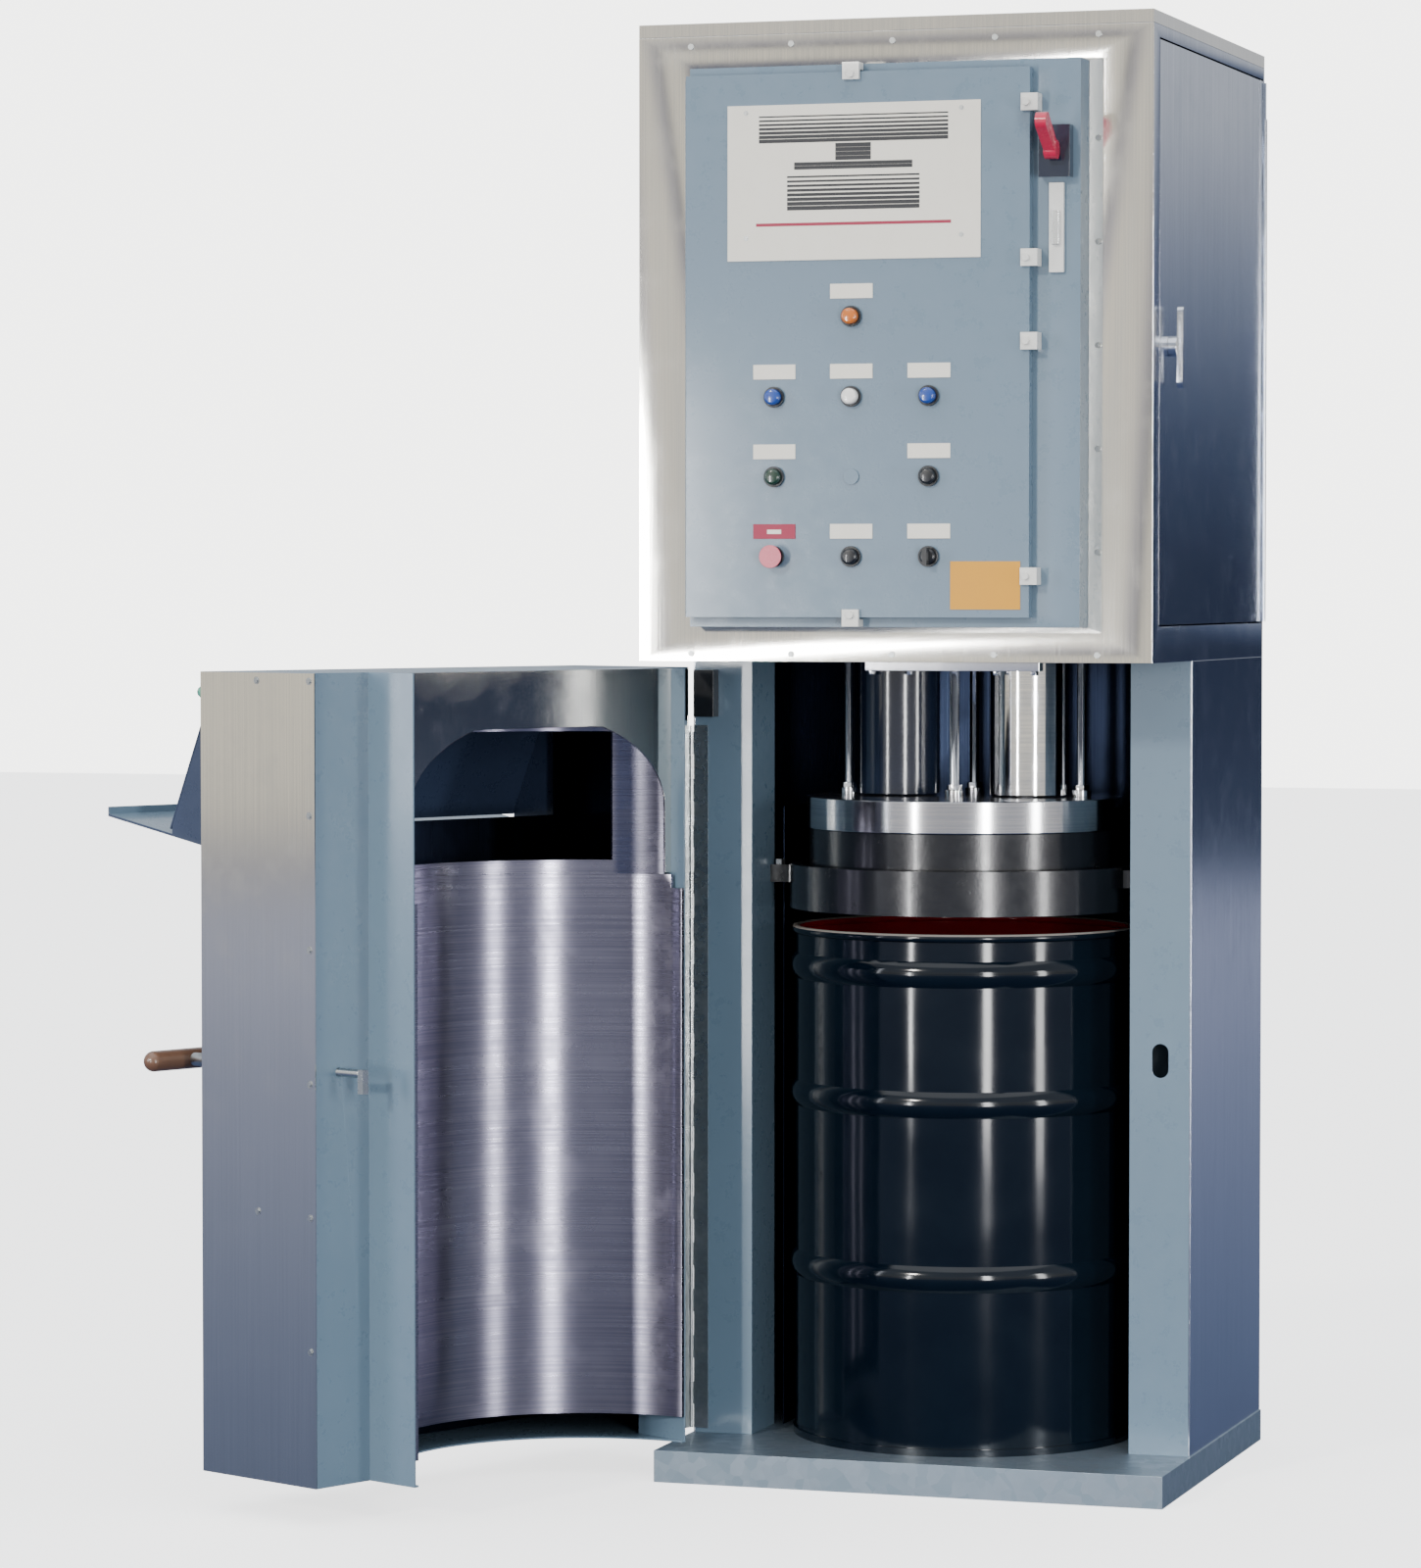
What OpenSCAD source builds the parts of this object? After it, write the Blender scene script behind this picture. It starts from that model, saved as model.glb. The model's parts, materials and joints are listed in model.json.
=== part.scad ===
// Drum press: a cabinet that compacts waste inside a standing steel drum.
// Millimetres. The origin is on the floor, under the middle of the head cabinet.
// The front is -Y, the latch side of the main door is +X.

/* [Drum] */
// Diameter of the drum over its rolling hoops
drum_d = 597; // [480:1:720]
// Height of the drum
drum_h = 876; // [700:1:1060]
// Wall of the drum
drum_wall = 2; // [1:0.5:4]

/* [Tower] */
// Thickness of the base
base_h = 54; // [40:1:90]
// Width of each front post
post_w = 105; // [85:1:150]
// Depth of each front post
post_d = 130; // [120:1:160]
// From the head's front back to the posts
post_setback = 290; // [280:1:360]
// From the head's front back to the base's front edge
base_setback = 80; // [20:1:120]
// From the posts' front back to the drum's axis
axis_setback = 163; // [150:1:200]
// Space behind the chamber liner
rear_gap = 72; // [50:1:200]
// Height of the head cabinet
head_h = 1053; // [870:1:1270]
// Sheet thickness of the panels
skin = 3; // [2:0.5:4]
// Height of the bright strip round the top
cap_strip = 22; // [10:1:40]

/* [Ram] */
// Travel of the ram
stroke = 600; // [480:5:720]
// Outer diameter of each hydraulic cylinder
barrel_d = 138; // [110:1:150]
// Diameter of each piston rod
rod_d = 50; // [30:1:70]
// Diameter of each guide rod
guide_d = 17; // [12:1:24]
// Length of cylinder that shows below the head
barrel_show = 232; // [150:1:320]
// Thickness of the bright ring plate
ring_h = 54; // [30:1:80]
// Height of the platen under the ring plate
platen_h = 122; // [80:1:160]
// Thickness of the press deck
deck_h = 25; // [15:1:40]

/* [Main door] */
// Angle that the door stands open
door_open = 115; // [0:1:125]
// Depth of the door in front of the posts
door_t = 272; // [225:1:330]
// Depth of the door's plug behind its back face
plug_t = 104; // [90:1:110]
// Height of the latch spindle
latch_z = 731; // [500:1:900]
// Diameter of the latch spindle
spindle_d = 14; // [10:1:18]
// How far the loading tray stands out
tray_reach = 274; // [200:1:320]
// Height of the header above the loading arch
header_h = 95; // [60:1:120]

/* [Control enclosure] */
// Width of the enclosure
box_w = 660; // [600:1:680]
// How far the enclosure stands out of the head
box_proud = 55; // [40:1:80]
// Depth of the enclosure
box_d = 200; // [160:1:240]
// Width of the fixed strip beside the enclosure door
strip_w = 79; // [70:1:90]
// Depth of the enclosure door
leaf_t = 20; // [16:1:30]
// Column pitch of the controls
column_pitch = 131; // [100:1:140]
// Diameter of a button cap
button_d = 26; // [18:1:30]
// Travel of a button
button_travel = 4; // [2:0.5:6]

/* [Clearances] */
// Radial gap between the drum and the chamber liner
liner_gap = 16.5; // [16:0.5:30]
// Radial gap of a sliding rod
slide_gap = 0.1; // [0.05:0.05:0.1]
// Gap between loose neighbours
loose_gap = 0.3; // [0.2:0.1:0.6]
// Gap between the door's plug and a post
plug_gap = 14; // [12:1:20]
// Gap between the closed door and the posts
seal_gap = 4; // [3:0.5:6]
// Gap over and under the main door
sweep_gap = 8; // [6:1:14]

/* [Hidden] */
$fn = 64;
through = 1;

drum_r = drum_d / 2;
liner_r = drum_r + liner_gap;
liner_t = 2;
plug_x = liner_r + skin;
post_in = plug_x + plug_gap;
half_w = post_in + post_w;
tower_w = 2 * half_w;
tower_d = post_setback + axis_setback + liner_r + rear_gap;
front_y = -tower_d / 2;
back_y = tower_d / 2;
post_y = front_y + post_setback;
base_y = front_y + base_setback;
axis_y = post_y + axis_setback;
base_lip = 2.5;
base_wall = 6;

drum_z = base_h;
drum_top = drum_z + drum_h;
collar_z = drum_top + 30;
collar_h = 75;
collar_r = drum_r + 1.5;
collar_bore = collar_r - 18;
platen_z = collar_z + 15;
ring_z = platen_z + platen_h;
ring_top = ring_z + ring_h;
barrel_z = ring_top + seal_gap;
head_z = barrel_z + barrel_show;
tower_h = head_z + head_h;
deck_top = head_z + deck_h;

ring_r = collar_bore - 10;
platen_r = ring_r - 5;
barrel_r = barrel_d / 2;
barrel_x = barrel_r + 47;
bore_r = barrel_r - 12;
gland_h = 40;
piston_h = 40;
barrel_cap = 25;
barrel_len = gland_h + stroke + piston_h + 45 + barrel_cap;
barrel_top = barrel_z + barrel_len;
guide_r = guide_d / 2;
bush_r = guide_r + 6.5;
bush_z1 = deck_top + 28;
guide_side = barrel_x + barrel_r + 22;
guide_mid = 65;
guide_top = bush_z1 + stroke + 40;
GUIDES = [[-guide_side, 0], [guide_side, 0], [0, -guide_mid], [0, guide_mid]];

hinge_r = 4;
hinge_x = -half_w - hinge_r;
hinge_y = post_y - seal_gap / 2;
pin_r = 2;
leaf = 1.5;
leaf_w = 26;
knuckle_pitch = 40;
door_z0 = base_h + sweep_gap;
door_z1 = head_z - 1.75 * sweep_gap;
door_back = post_y - seal_gap;
door_front = door_back - door_t;
plug_y = door_back + plug_t;
latch_x = half_w - post_w / 2;
hook_h = 42;
hook_w = 12;
hook_y = door_back + 50;
slot_gap = 8;
slot_w = hook_w + 2 * slot_gap;
liner_z0 = door_z0 + 43;
rim_z = collar_z + 42;
arch_z0 = rim_z + 26;
header_z = door_z1 - header_h;
arch_y = plug_y - 30;
arch_half = liner_r - 15;
switch_h = 80;
hinge_z1 = door_z1 - switch_h - 20;

tray_x = half_w - 37;
tray_z0 = header_z - 195;
tray_z1 = tray_z0 + 48;
lid_z = door_z1 - 10;
lid_out = 113;
tray_at_lid = tray_z0 + (tray_z1 - tray_z0) * lid_out / (tray_reach - 3);
lid_foot = tray_at_lid + 8;
lid_reach = norm([lid_out, lid_z - lid_foot]);
lid_slope = atan2(lid_z - lid_foot, lid_out);

box_z0 = head_z + 58;
box_z1 = tower_h - 80;
box_x = box_w / 2;
box_front = front_y - box_proud;
box_back = box_front + box_d;
box_wall = 2.5;
leaf_x0 = -box_x;
leaf_x1 = box_x - strip_w;
leaf_z0 = box_z0 + 16;
leaf_z1 = box_z1 - 14;
leaf_y1 = box_front - 1;
leaf_y0 = leaf_y1 - leaf_t;
plate_w = 428;
plate_h = 253;
plate_x = -44;
plate_z = leaf_z1 - 51 - plate_h;
row_z0 = box_z0 + 115;
row_pitch = (plate_z - 92 - row_z0) / 3;
column_x = -47;
label_up = 41;
label_w = 72;
label_h = 24;
clamp_w = 28;
clamp_reach = clamp_w / 2 - 1;
notice_w = 117;
button_r = button_d / 2;
bezel_r = button_r + 4;
bezel_t = 6;
CONTROLS = [[0, 3], [-1, 2], [0, 2], [1, 2], [-1, 1], [1, 1], [-1, 0], [0, 0], [1, 0]];

shelf_z = guide_top + 20;
shelf_t = 6;
shelf_y = box_back + 25;
unit_z = shelf_z + shelf_t;
// The power unit is made to suit the room between its shelf and the roof.
unit_room = 312;
unit_k = (tower_h - cap_strip - unit_z) / unit_room;
tank_w = 350;
tank_d = 380;
tank_h = 190 * unit_k;
tank_lid = 5;
tank_lip = 8;
filler_h = 32 * unit_k;
breather_h = 70 * unit_k;
motor_r = 85 * unit_k;
motor_len = 230;
motor_foot = 25 * unit_k;
terminal_h = 40 * unit_k;
fin_depth = 10 * unit_k;
motor_x = half_w - 205;
motor_y = axis_y + 50;
motor_z = unit_z + motor_r + motor_foot;
bell_len = 75;
pump_len = 90;
pump_r = 52 * unit_k;
valve_x = -75;
valve_y = shelf_y + 40;
valve_w = 150;
valve_d = 90;
block_h = 75 * unit_k;
valve_h = 45 * unit_k;
coil_r = 20 * unit_k;
port_z = deck_top + 60;
port_boss = 4;

side_y0 = front_y + 45;
side_y1 = back_y - 12;
side_z0 = head_z + 62;
side_z1 = tower_h - 45;
side_t = 20;
pull_y = side_y0 + 72;
pull_z = (side_z0 + side_z1) / 2 - 20;
isolator_x = box_x - 38;
isolator_z = box_z1 - 150;

// A box given by its two opposite corners.
module span(a, b) {
    translate(a) cube(b - a);
}

// A tube or disc along Z with its foot at z0.
module tube(outer, inner, z0, z1) {
    translate([0, 0, z0]) difference() {
        cylinder(h = z1 - z0, r = outer);
        translate([0, 0, -through]) cylinder(h = z1 - z0 + 2 * through, r = inner);
    }
}

// A bar with round ends, cut or drawn along Y from y0 to y1.
module slot(x, z0, z1, w, y0, y1) {
    span([x - w / 2, y0, z0 + w / 2], [x + w / 2, y1, z1 - w / 2]);
    for (z = [z0 + w / 2, z1 - w / 2])
        translate([x, y0, z]) rotate([-90, 0, 0]) cylinder(h = y1 - y0, r = w / 2);
}

// A rod along Y.
module rod_y(x, z, r, y0, y1) {
    translate([x, y0, z]) rotate([-90, 0, 0]) cylinder(h = y1 - y0, r = r);
}

// Every second knuckle of a hinge between z0 and z1, starting with knuckle number first.
module knuckles(first, z0, z1, r, pitch, bore) {
    count = floor((z1 - z0) / pitch);
    for (i = [first : 2 : count - 1])
        tube(r, bore, z0 + i * pitch + loose_gap, z0 + (i + 1) * pitch - loose_gap);
}

// Puts a piece drawn with the main door shut where the door stands.
module on_door() {
    translate([hinge_x, hinge_y, 0]) rotate([0, 0, -door_open])
        translate([-hinge_x, -hinge_y, 0]) children();
}

// Mirrors a piece to both sides of the tower.
module both_sides() {
    for (side = [0, 1]) mirror([side, 0, 0]) children();
}

// ---- base, posts and lower cabinet ----

module base() {
    color("lightsteelblue") {
        difference() {
            span([-half_w - base_lip, base_y, 0], [half_w + base_lip, back_y, base_h]);
            span([-half_w + base_wall, base_y + base_wall, base_wall],
                [half_w - base_wall, back_y + through, base_h - base_wall]);
        }
        for (x = [-drum_r / 2, drum_r / 2])
            span([x - base_wall, base_y + 40, base_wall], [x + base_wall, back_y - 20, base_h - base_wall]);
    }
}

// One hollow front column, on the left side.
module column() {
    difference() {
        span([-half_w + skin, post_y, base_h], [-post_in, post_y + post_d, head_z]);
        span([-half_w + 2 * skin, post_y + skin, base_h - through],
            [-post_in - skin, post_y + post_d - skin, head_z + through]);
    }
}

module left_post() {
    color("lightsteelblue") column();
}

module right_post() {
    color("lightsteelblue") difference() {
        mirror([1, 0, 0]) column();
        slot(latch_x, latch_z - hook_h, latch_z + spindle_d / 2 + slot_gap, slot_w,
            post_y - through, post_y + 2 * skin);
    }
}

module lower_side_panels() {
    color("slategray") both_sides()
        span([-half_w, post_y, base_h], [-half_w + skin, back_y - skin, head_z]);
}

module rear_panel() {
    color("lightslategray") span([-half_w, back_y - skin, base_h], [half_w, back_y, tower_h - cap_strip]);
}

module chamber_liner() {
    color("silver") {
        intersection() {
            translate([0, axis_y, 0]) tube(liner_r + liner_t, liner_r, base_h, ring_z + 33);
            span([-half_w, axis_y, 0], [half_w, back_y, head_z]);
        }
        both_sides()
            span([-liner_r - liner_t, post_y + post_d + 2, base_h], [-liner_r, axis_y, ring_z + 33]);
    }
}

module guide_collar() {
    lug_z = collar_z + 40;
    color("black") difference() {
        union() {
            translate([0, axis_y, collar_z]) cylinder(h = collar_h, r = collar_r, $fn = 96);
            both_sides()
                span([-post_in, post_y + post_d - 25, lug_z],
                    [-collar_r + 30, post_y + post_d, lug_z + 30]);
        }
        translate([0, axis_y, collar_z - through])
            cylinder(h = collar_h + 2 * through, r = collar_bore, $fn = 96);
    }
}

// ---- head cabinet ----

module press_deck() {
    color("dimgray") difference() {
        span([-half_w + skin, front_y + skin, head_z], [half_w - skin, back_y - skin, deck_top]);
        for (side = [-1, 1])
            translate([side * barrel_x, axis_y, head_z - through])
                cylinder(h = deck_h + 2 * through, r = barrel_r + loose_gap);
        for (p = GUIDES)
            translate([p[0], axis_y + p[1], head_z - through])
                cylinder(h = deck_h + 2 * through, r = bush_r + loose_gap);
    }
}

module head_frame() {
    bar = 40;
    inner_x = half_w - side_t - 6;
    inner_y = tower_d / 2 - skin;
    color("slategray") {
        for (x = [-1, 1], y = [-1, 1]) {
            span([min(x * inner_x, x * (inner_x - bar)), min(y * inner_y, y * (inner_y - skin)), deck_top],
                [max(x * inner_x, x * (inner_x - bar)), max(y * inner_y, y * (inner_y - skin)),
                    tower_h - cap_strip]);
            span([min(x * inner_x, x * (inner_x - skin)), min(y * (inner_y - skin),
                y * (inner_y - bar)), deck_top],
                [max(x * inner_x, x * (inner_x - skin)), max(y * (inner_y - skin), y * (inner_y - bar)),
                tower_h - cap_strip]);
        }
        span([-inner_x + skin, shelf_y, shelf_z], [inner_x - skin, inner_y - skin, unit_z]);
        for (y = [shelf_y, inner_y - bar])
            span([-inner_x + skin, y, shelf_z - bar], [inner_x - skin, y + skin, shelf_z]);
    }
}

module head_front_panel() {
    color("gainsboro") difference() {
        span([-half_w, front_y, head_z], [half_w, front_y + skin, tower_h - cap_strip]);
        span([-box_x - loose_gap, front_y - through, box_z0 - loose_gap],
            [box_x + loose_gap, front_y + 2 * skin, box_z1 + loose_gap]);
    }
}

module head_left_panel() {
    color("lightgray")
        span([-half_w, front_y + skin, head_z], [-half_w + skin, back_y - skin, tower_h - cap_strip]);
}

module head_right_panel() {
    color("lightgray") {
        difference() {
            span([half_w - skin, front_y + skin, head_z], [half_w, back_y - skin, tower_h - cap_strip]);
            span([half_w - 2 * skin, side_y0 - skin, side_z0 - skin],
                [half_w + through, side_y1 + skin, side_z1 + skin]);
        }
        translate([half_w + hinge_r, side_y1 + skin / 2, 0])
            knuckles(1, side_z0, side_z1, hinge_r - loose_gap, 2 * knuckle_pitch, pin_r + slide_gap);
        span([half_w, side_y1 + skin / 2 + hinge_r + loose_gap, side_z0],
            [half_w + 1, back_y - skin, side_z1]);
        for (i = [1 : 2 : floor((side_z1 - side_z0) / (2 * knuckle_pitch)) - 1])
            span([half_w, side_y1 + skin / 2, side_z0 + 2 * i * knuckle_pitch + loose_gap],
                [half_w + 1, back_y - skin, side_z0 + 2 * (i + 1) * knuckle_pitch - loose_gap]);
    }
}

module head_cap() {
    color("whitesmoke") difference() {
        span([-half_w, front_y, tower_h - cap_strip], [half_w, back_y, tower_h]);
        span([-half_w + skin, front_y + skin, tower_h - cap_strip - through],
            [half_w - skin, back_y - skin, tower_h - skin]);
    }
}

module side_door() {
    color("lightslategray") difference() {
        union() {
            span([half_w - side_t, side_y0, side_z0], [half_w, side_y1, side_z1]);
            translate([half_w + hinge_r, side_y1 + skin / 2, 0]) {
                knuckles(0, side_z0, side_z1, hinge_r - loose_gap, 2 * knuckle_pitch, 0);
                translate([0, 0, side_z0 + skin]) cylinder(h = side_z1 - side_z0 - 2 * skin, r = pin_r);
            }
            span([half_w, side_y1 - leaf_w, side_z0],
                [half_w + 1, side_y1 + skin / 2 - hinge_r - loose_gap, side_z1]);
            for (i = [0 : 2 : floor((side_z1 - side_z0) / (2 * knuckle_pitch)) - 1])
                span([half_w, side_y1 - 2 * hinge_r, side_z0 + 2 * i * knuckle_pitch + loose_gap],
                    [half_w + 1, side_y1 + skin / 2, side_z0 + 2 * (i + 1) * knuckle_pitch - loose_gap]);
        }
        span([half_w - side_t - through, side_y0 + skin, side_z0 + skin],
            [half_w - skin, side_y1 - skin, side_z1 - skin]);
        translate([half_w - side_t - through, pull_y, pull_z]) rotate([0, 90, 0])
            cylinder(h = side_t + 2 * through, r = spindle_d / 2 + loose_gap);
    }
}

// A chrome lever on a round boss, with its cam inside the cabinet.
module side_door_handle() {
    lever_h = 112;
    color("silver") translate([half_w + loose_gap, pull_y, pull_z]) {
        rotate([0, 90, 0]) cylinder(h = 14, r = 17);
        translate([14, 0, 0]) hull() {
            translate([0, 0, lever_h / 2]) rotate([0, 90, 0]) cylinder(h = 10, r = 9, $fn = 32);
            translate([0, 0, -lever_h / 2]) rotate([0, 90, 0]) cylinder(h = 10, r = 12, $fn = 32);
        }
        translate([-side_t - 16, 0, 0]) rotate([0, 90, 0]) cylinder(h = side_t + 17, r = spindle_d / 2);
        span([-side_t - 16, -9, -9], [-side_t - 10, 9, 100]);
    }
}

// ---- control enclosure ----

module control_box() {
    color("lightsteelblue") {
        difference() {
            span([-box_x, box_front, box_z0], [box_x, box_back, box_z1]);
            span([-box_x + box_wall, box_front + box_wall, box_z0 + box_wall],
                [box_x - box_wall, box_back - box_wall, box_z1 - box_wall]);
            span([leaf_x0 + 26, box_front - through, leaf_z0 + 26],
                [leaf_x1 - 26, box_front + 2 * box_wall, leaf_z1 - 26]);
        }
        translate([-box_x - hinge_r, leaf_y1, 0])
            knuckles(1, leaf_z0, leaf_z1, hinge_r - loose_gap, knuckle_pitch, pin_r + slide_gap);
        for (i = [1 : 2 : floor((leaf_z1 - leaf_z0) / knuckle_pitch) - 1])
            span([-box_x - hinge_r - 1, box_front + 1.5, leaf_z0 + i * knuckle_pitch + loose_gap],
                [-box_x, box_front + 3, leaf_z0 + (i + 1) * knuckle_pitch - loose_gap]);
    }
}

module component_panel() {
    plate_y = box_back - box_wall - 12;
    color("orange") span([-box_x + 35, plate_y, box_z0 + 45], [box_x - 35, plate_y + 2.5, box_z1 - 45]);
    color("dimgray") for (row = [0 : 2], column = [-2 : 2])
        span([column * 100 - 32, plate_y - 70, box_z0 + 120 + row * row_pitch],
            [column * 100 + 32, plate_y, box_z0 + 205 + row * row_pitch]);
    color("gray") span([-150, plate_y - 90, plate_z], [-20, plate_y, plate_z + 120]);
}

module isolator_base() {
    color("dimgray") span([isolator_x - 26, box_front - 24, isolator_z - 42],
        [isolator_x + 26, box_front, isolator_z + 42]);
    color("silver") {
        span([isolator_x - 12, box_front - 8, isolator_z - 194],
            [isolator_x + 12, box_front, isolator_z - 50]);
        span([isolator_x - 6, box_front - 16, isolator_z - 150],
            [isolator_x + 6, box_front - 8, isolator_z - 95]);
    }
    color("black") span([isolator_x - 28, box_front + box_wall, isolator_z - 80],
        [isolator_x + 28, box_front + 92, isolator_z + 80]);
}

module isolator_handle() {
    color("crimson") translate([isolator_x, box_front - 24 - 16, isolator_z]) {
        translate([-10, 0, 0]) rotate([0, 90, 0]) cylinder(h = 20, r = 15);
        rotate([-35, 0, 0]) hull() {
            translate([-9, 0, 0]) rotate([0, 90, 0]) cylinder(h = 18, r = 10, $fn = 32);
            translate([-9, -72, 0]) rotate([0, 90, 0]) cylinder(h = 18, r = 14, $fn = 32);
        }
    }
}

// Where a control sits on the enclosure door, from its column and row number.
function control_x(c) = column_x + c[0] * column_pitch;
function control_z(c) = row_z0 + c[1] * row_pitch;

module control_door() {
    color("lightsteelblue") difference() {
        union() {
            difference() {
                span([leaf_x0, leaf_y0, leaf_z0], [leaf_x1, leaf_y1, leaf_z1]);
                span([leaf_x0 + skin, leaf_y0 + skin, leaf_z0 + skin],
                    [leaf_x1 - skin, leaf_y1 + through, leaf_z1 - skin]);
            }
            translate([-box_x - hinge_r, leaf_y1, 0]) {
                knuckles(0, leaf_z0, leaf_z1, hinge_r - loose_gap, knuckle_pitch, 0);
                translate([0, 0, leaf_z0 + skin]) cylinder(h = leaf_z1 - leaf_z0 - 2 * skin, r = pin_r);
            }
            for (i = [0 : 2 : floor((leaf_z1 - leaf_z0) / knuckle_pitch) - 1])
                span([-box_x - hinge_r, leaf_y1 - hinge_r, leaf_z0 + i * knuckle_pitch + loose_gap],
                    [-box_x + 1, leaf_y1 - hinge_r + leaf, leaf_z0 + (i + 1) * knuckle_pitch - loose_gap]);
        }
        for (c = CONTROLS)
            rod_y(control_x(c), control_z(c),
                bezel_r - 2 + loose_gap, leaf_y0 - through, leaf_y0 + 2 * skin);
    }
}

module legend_plates() {
    color("ivory") {
        for (c = CONTROLS)
            span([control_x(c) - label_w / 2, leaf_y0 - 1.5, control_z(c) + label_up - label_h / 2],
                [control_x(c) + label_w / 2, leaf_y0, control_z(c) + label_up + label_h / 2]);
        span([plate_x - plate_w / 2, leaf_y0 - 2, plate_z],
            [plate_x + plate_w / 2, leaf_y0, plate_z + plate_h]);
    }
    color("gold") span([leaf_x1 - clamp_reach - 1 - notice_w, leaf_y0 - 1, leaf_z0 + 13],
        [leaf_x1 - clamp_reach - 1, leaf_y0, leaf_z0 + 91]);
}

// One screw clamp that reaches over the door's edge to the enclosure, with +X as the way out.
module clamp() {
    half = clamp_w / 2;
    jaw_t = 8;
    span([-half, -jaw_t, -half], [half, 0, half]);
    span([2, 0, -half], [half, leaf_t + 1 - loose_gap, half]);
    rod_y(-5, 0, 6, -jaw_t - 5, -jaw_t);
}

module door_clamps() {
    color("white") {
        for (z = [leaf_z1 - 57, plate_z - 2, plate_z - 136, leaf_z0 + 67])
            translate([leaf_x1 + 1, leaf_y0, z]) clamp();
        translate([column_x, leaf_y0, leaf_z0 - 1]) rotate([0, 90, 0]) clamp();
        translate([column_x, leaf_y0, leaf_z1 + 1]) rotate([0, -90, 0]) clamp();
    }
}

module button_bezels() {
    bezel_y = leaf_y0 - bezel_t;
    block_y = leaf_y0 + skin;
    color("darkslategray") {
        for (c = CONTROLS) difference() {
            union() {
                rod_y(control_x(c), control_z(c), bezel_r, bezel_y, leaf_y0);
                rod_y(control_x(c), control_z(c), bezel_r - 2, bezel_y, block_y);
                span([control_x(c) - 16, block_y, control_z(c) - 20],
                    [control_x(c) + 16, block_y + 44, control_z(c) + 20]);
            }
            rod_y(control_x(c), control_z(c), button_r + loose_gap, bezel_y - through, block_y + 12);
        }
        rod_y(column_x, control_z([0, 1]), bezel_r - 4, leaf_y0 - 3, leaf_y0);
    }
}

// The moving cap of a push button: a stem in the bezel's bore and a domed face.
module button_cap(c, proud) {
    face_y = leaf_y0 - bezel_t - proud;
    rod_y(control_x(c), control_z(c), button_r, face_y + 3, leaf_y0 + skin + 12 - button_travel - 1);
    translate([control_x(c), face_y + 3, control_z(c)]) rotate([90, 0, 0])
        cylinder(h = 3, r1 = button_r, r2 = button_r - 3);
}

module pilot_light() {
    color("darkorange") button_cap(CONTROLS[0], 14);
}

module blue_button_left() {
    color("royalblue") button_cap(CONTROLS[1], 14);
}

module white_button() {
    color("white") button_cap(CONTROLS[2], 14);
}

module blue_button_right() {
    color("royalblue") button_cap(CONTROLS[3], 14);
}

module green_button() {
    color("darkgreen") button_cap(CONTROLS[4], 12);
}

module black_button_high() {
    color("black") button_cap(CONTROLS[5], 12);
}

module stop_button() {
    head_y = leaf_y0 - bezel_t - button_travel - 1;
    color("indianred") {
        button_cap(CONTROLS[6], 12);
        translate([control_x(CONTROLS[6]), head_y, control_z(CONTROLS[6])]) rotate([90, 0, 0])
            cylinder(h = 14, r1 = bezel_r - 2, r2 = bezel_r + 2);
    }
}

module black_button_low() {
    color("black") button_cap(CONTROLS[7], 12);
}

module selector() {
    c = CONTROLS[8];
    color("black") {
        button_cap(c, 8);
        span([control_x(c) - 4, leaf_y0 - bezel_t - 22, control_z(c) - 13],
            [control_x(c) + 4, leaf_y0 - bezel_t - 5, control_z(c) + 13]);
    }
}

// ---- hydraulics ----

// One cylinder: a bored barrel with its gland at the foot and a closed cap on top.
module barrel() {
    tube(barrel_r, bore_r, barrel_z + gland_h, barrel_top - barrel_cap);
    tube(barrel_r, rod_d / 2 + slide_gap, barrel_z, barrel_z + gland_h);
    translate([0, 0, barrel_top - barrel_cap]) cylinder(h = barrel_cap, r = barrel_r);
    rod_y(0, port_z, 11, barrel_r - 6, barrel_r + port_boss);
}

module cylinder_barrels() {
    color("silver") for (side = [-1, 1]) translate([side * barrel_x, axis_y, 0]) barrel();
}

module cylinder_bracket() {
    bar = 20;
    front = axis_y - barrel_r - 16;
    color("lightgray") {
        difference() {
            span([-barrel_x - 38, front, head_z - bar], [barrel_x + 38, axis_y + barrel_r + 16, head_z]);
            for (side = [-1, 1])
                translate([side * barrel_x, axis_y, head_z - bar - through])
                    cylinder(h = bar + 2 * through, r = barrel_r + loose_gap);
            for (y = [-guide_mid, guide_mid])
                translate([0, axis_y + y, head_z - bar - through])
                    cylinder(h = bar + 2 * through, r = guide_r + 3);
        }
        for (x = [-barrel_x - 28, -barrel_x + 40, barrel_x - 40, barrel_x + 28])
            translate([x, front + 8, head_z - bar - 7]) cylinder(h = 7, r = 7, $fn = 6);
    }
}

module guide_bushes() {
    color("darkgoldenrod") for (p = GUIDES) translate([p[0], axis_y + p[1], 0]) {
        tube(bush_r, guide_r + slide_gap, head_z, bush_z1);
        tube(bush_r + 5, bush_r, deck_top, deck_top + 6);
    }
}

module ring_plate() {
    plate = 22;
    color("gainsboro") translate([0, axis_y, 0]) {
        translate([0, 0, ring_top - plate]) cylinder(h = plate, r = ring_r, $fn = 96);
        tube(ring_r, ring_r - 14, ring_z, ring_top - plate, $fn = 96);
    }
}

module platen() {
    wall = 12;
    color("black") translate([0, axis_y, 0]) {
        tube(platen_r, platen_r - wall, platen_z + wall, ring_z, $fn = 96);
        translate([0, 0, platen_z]) cylinder(h = wall, r = platen_r, $fn = 96);
    }
}

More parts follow.
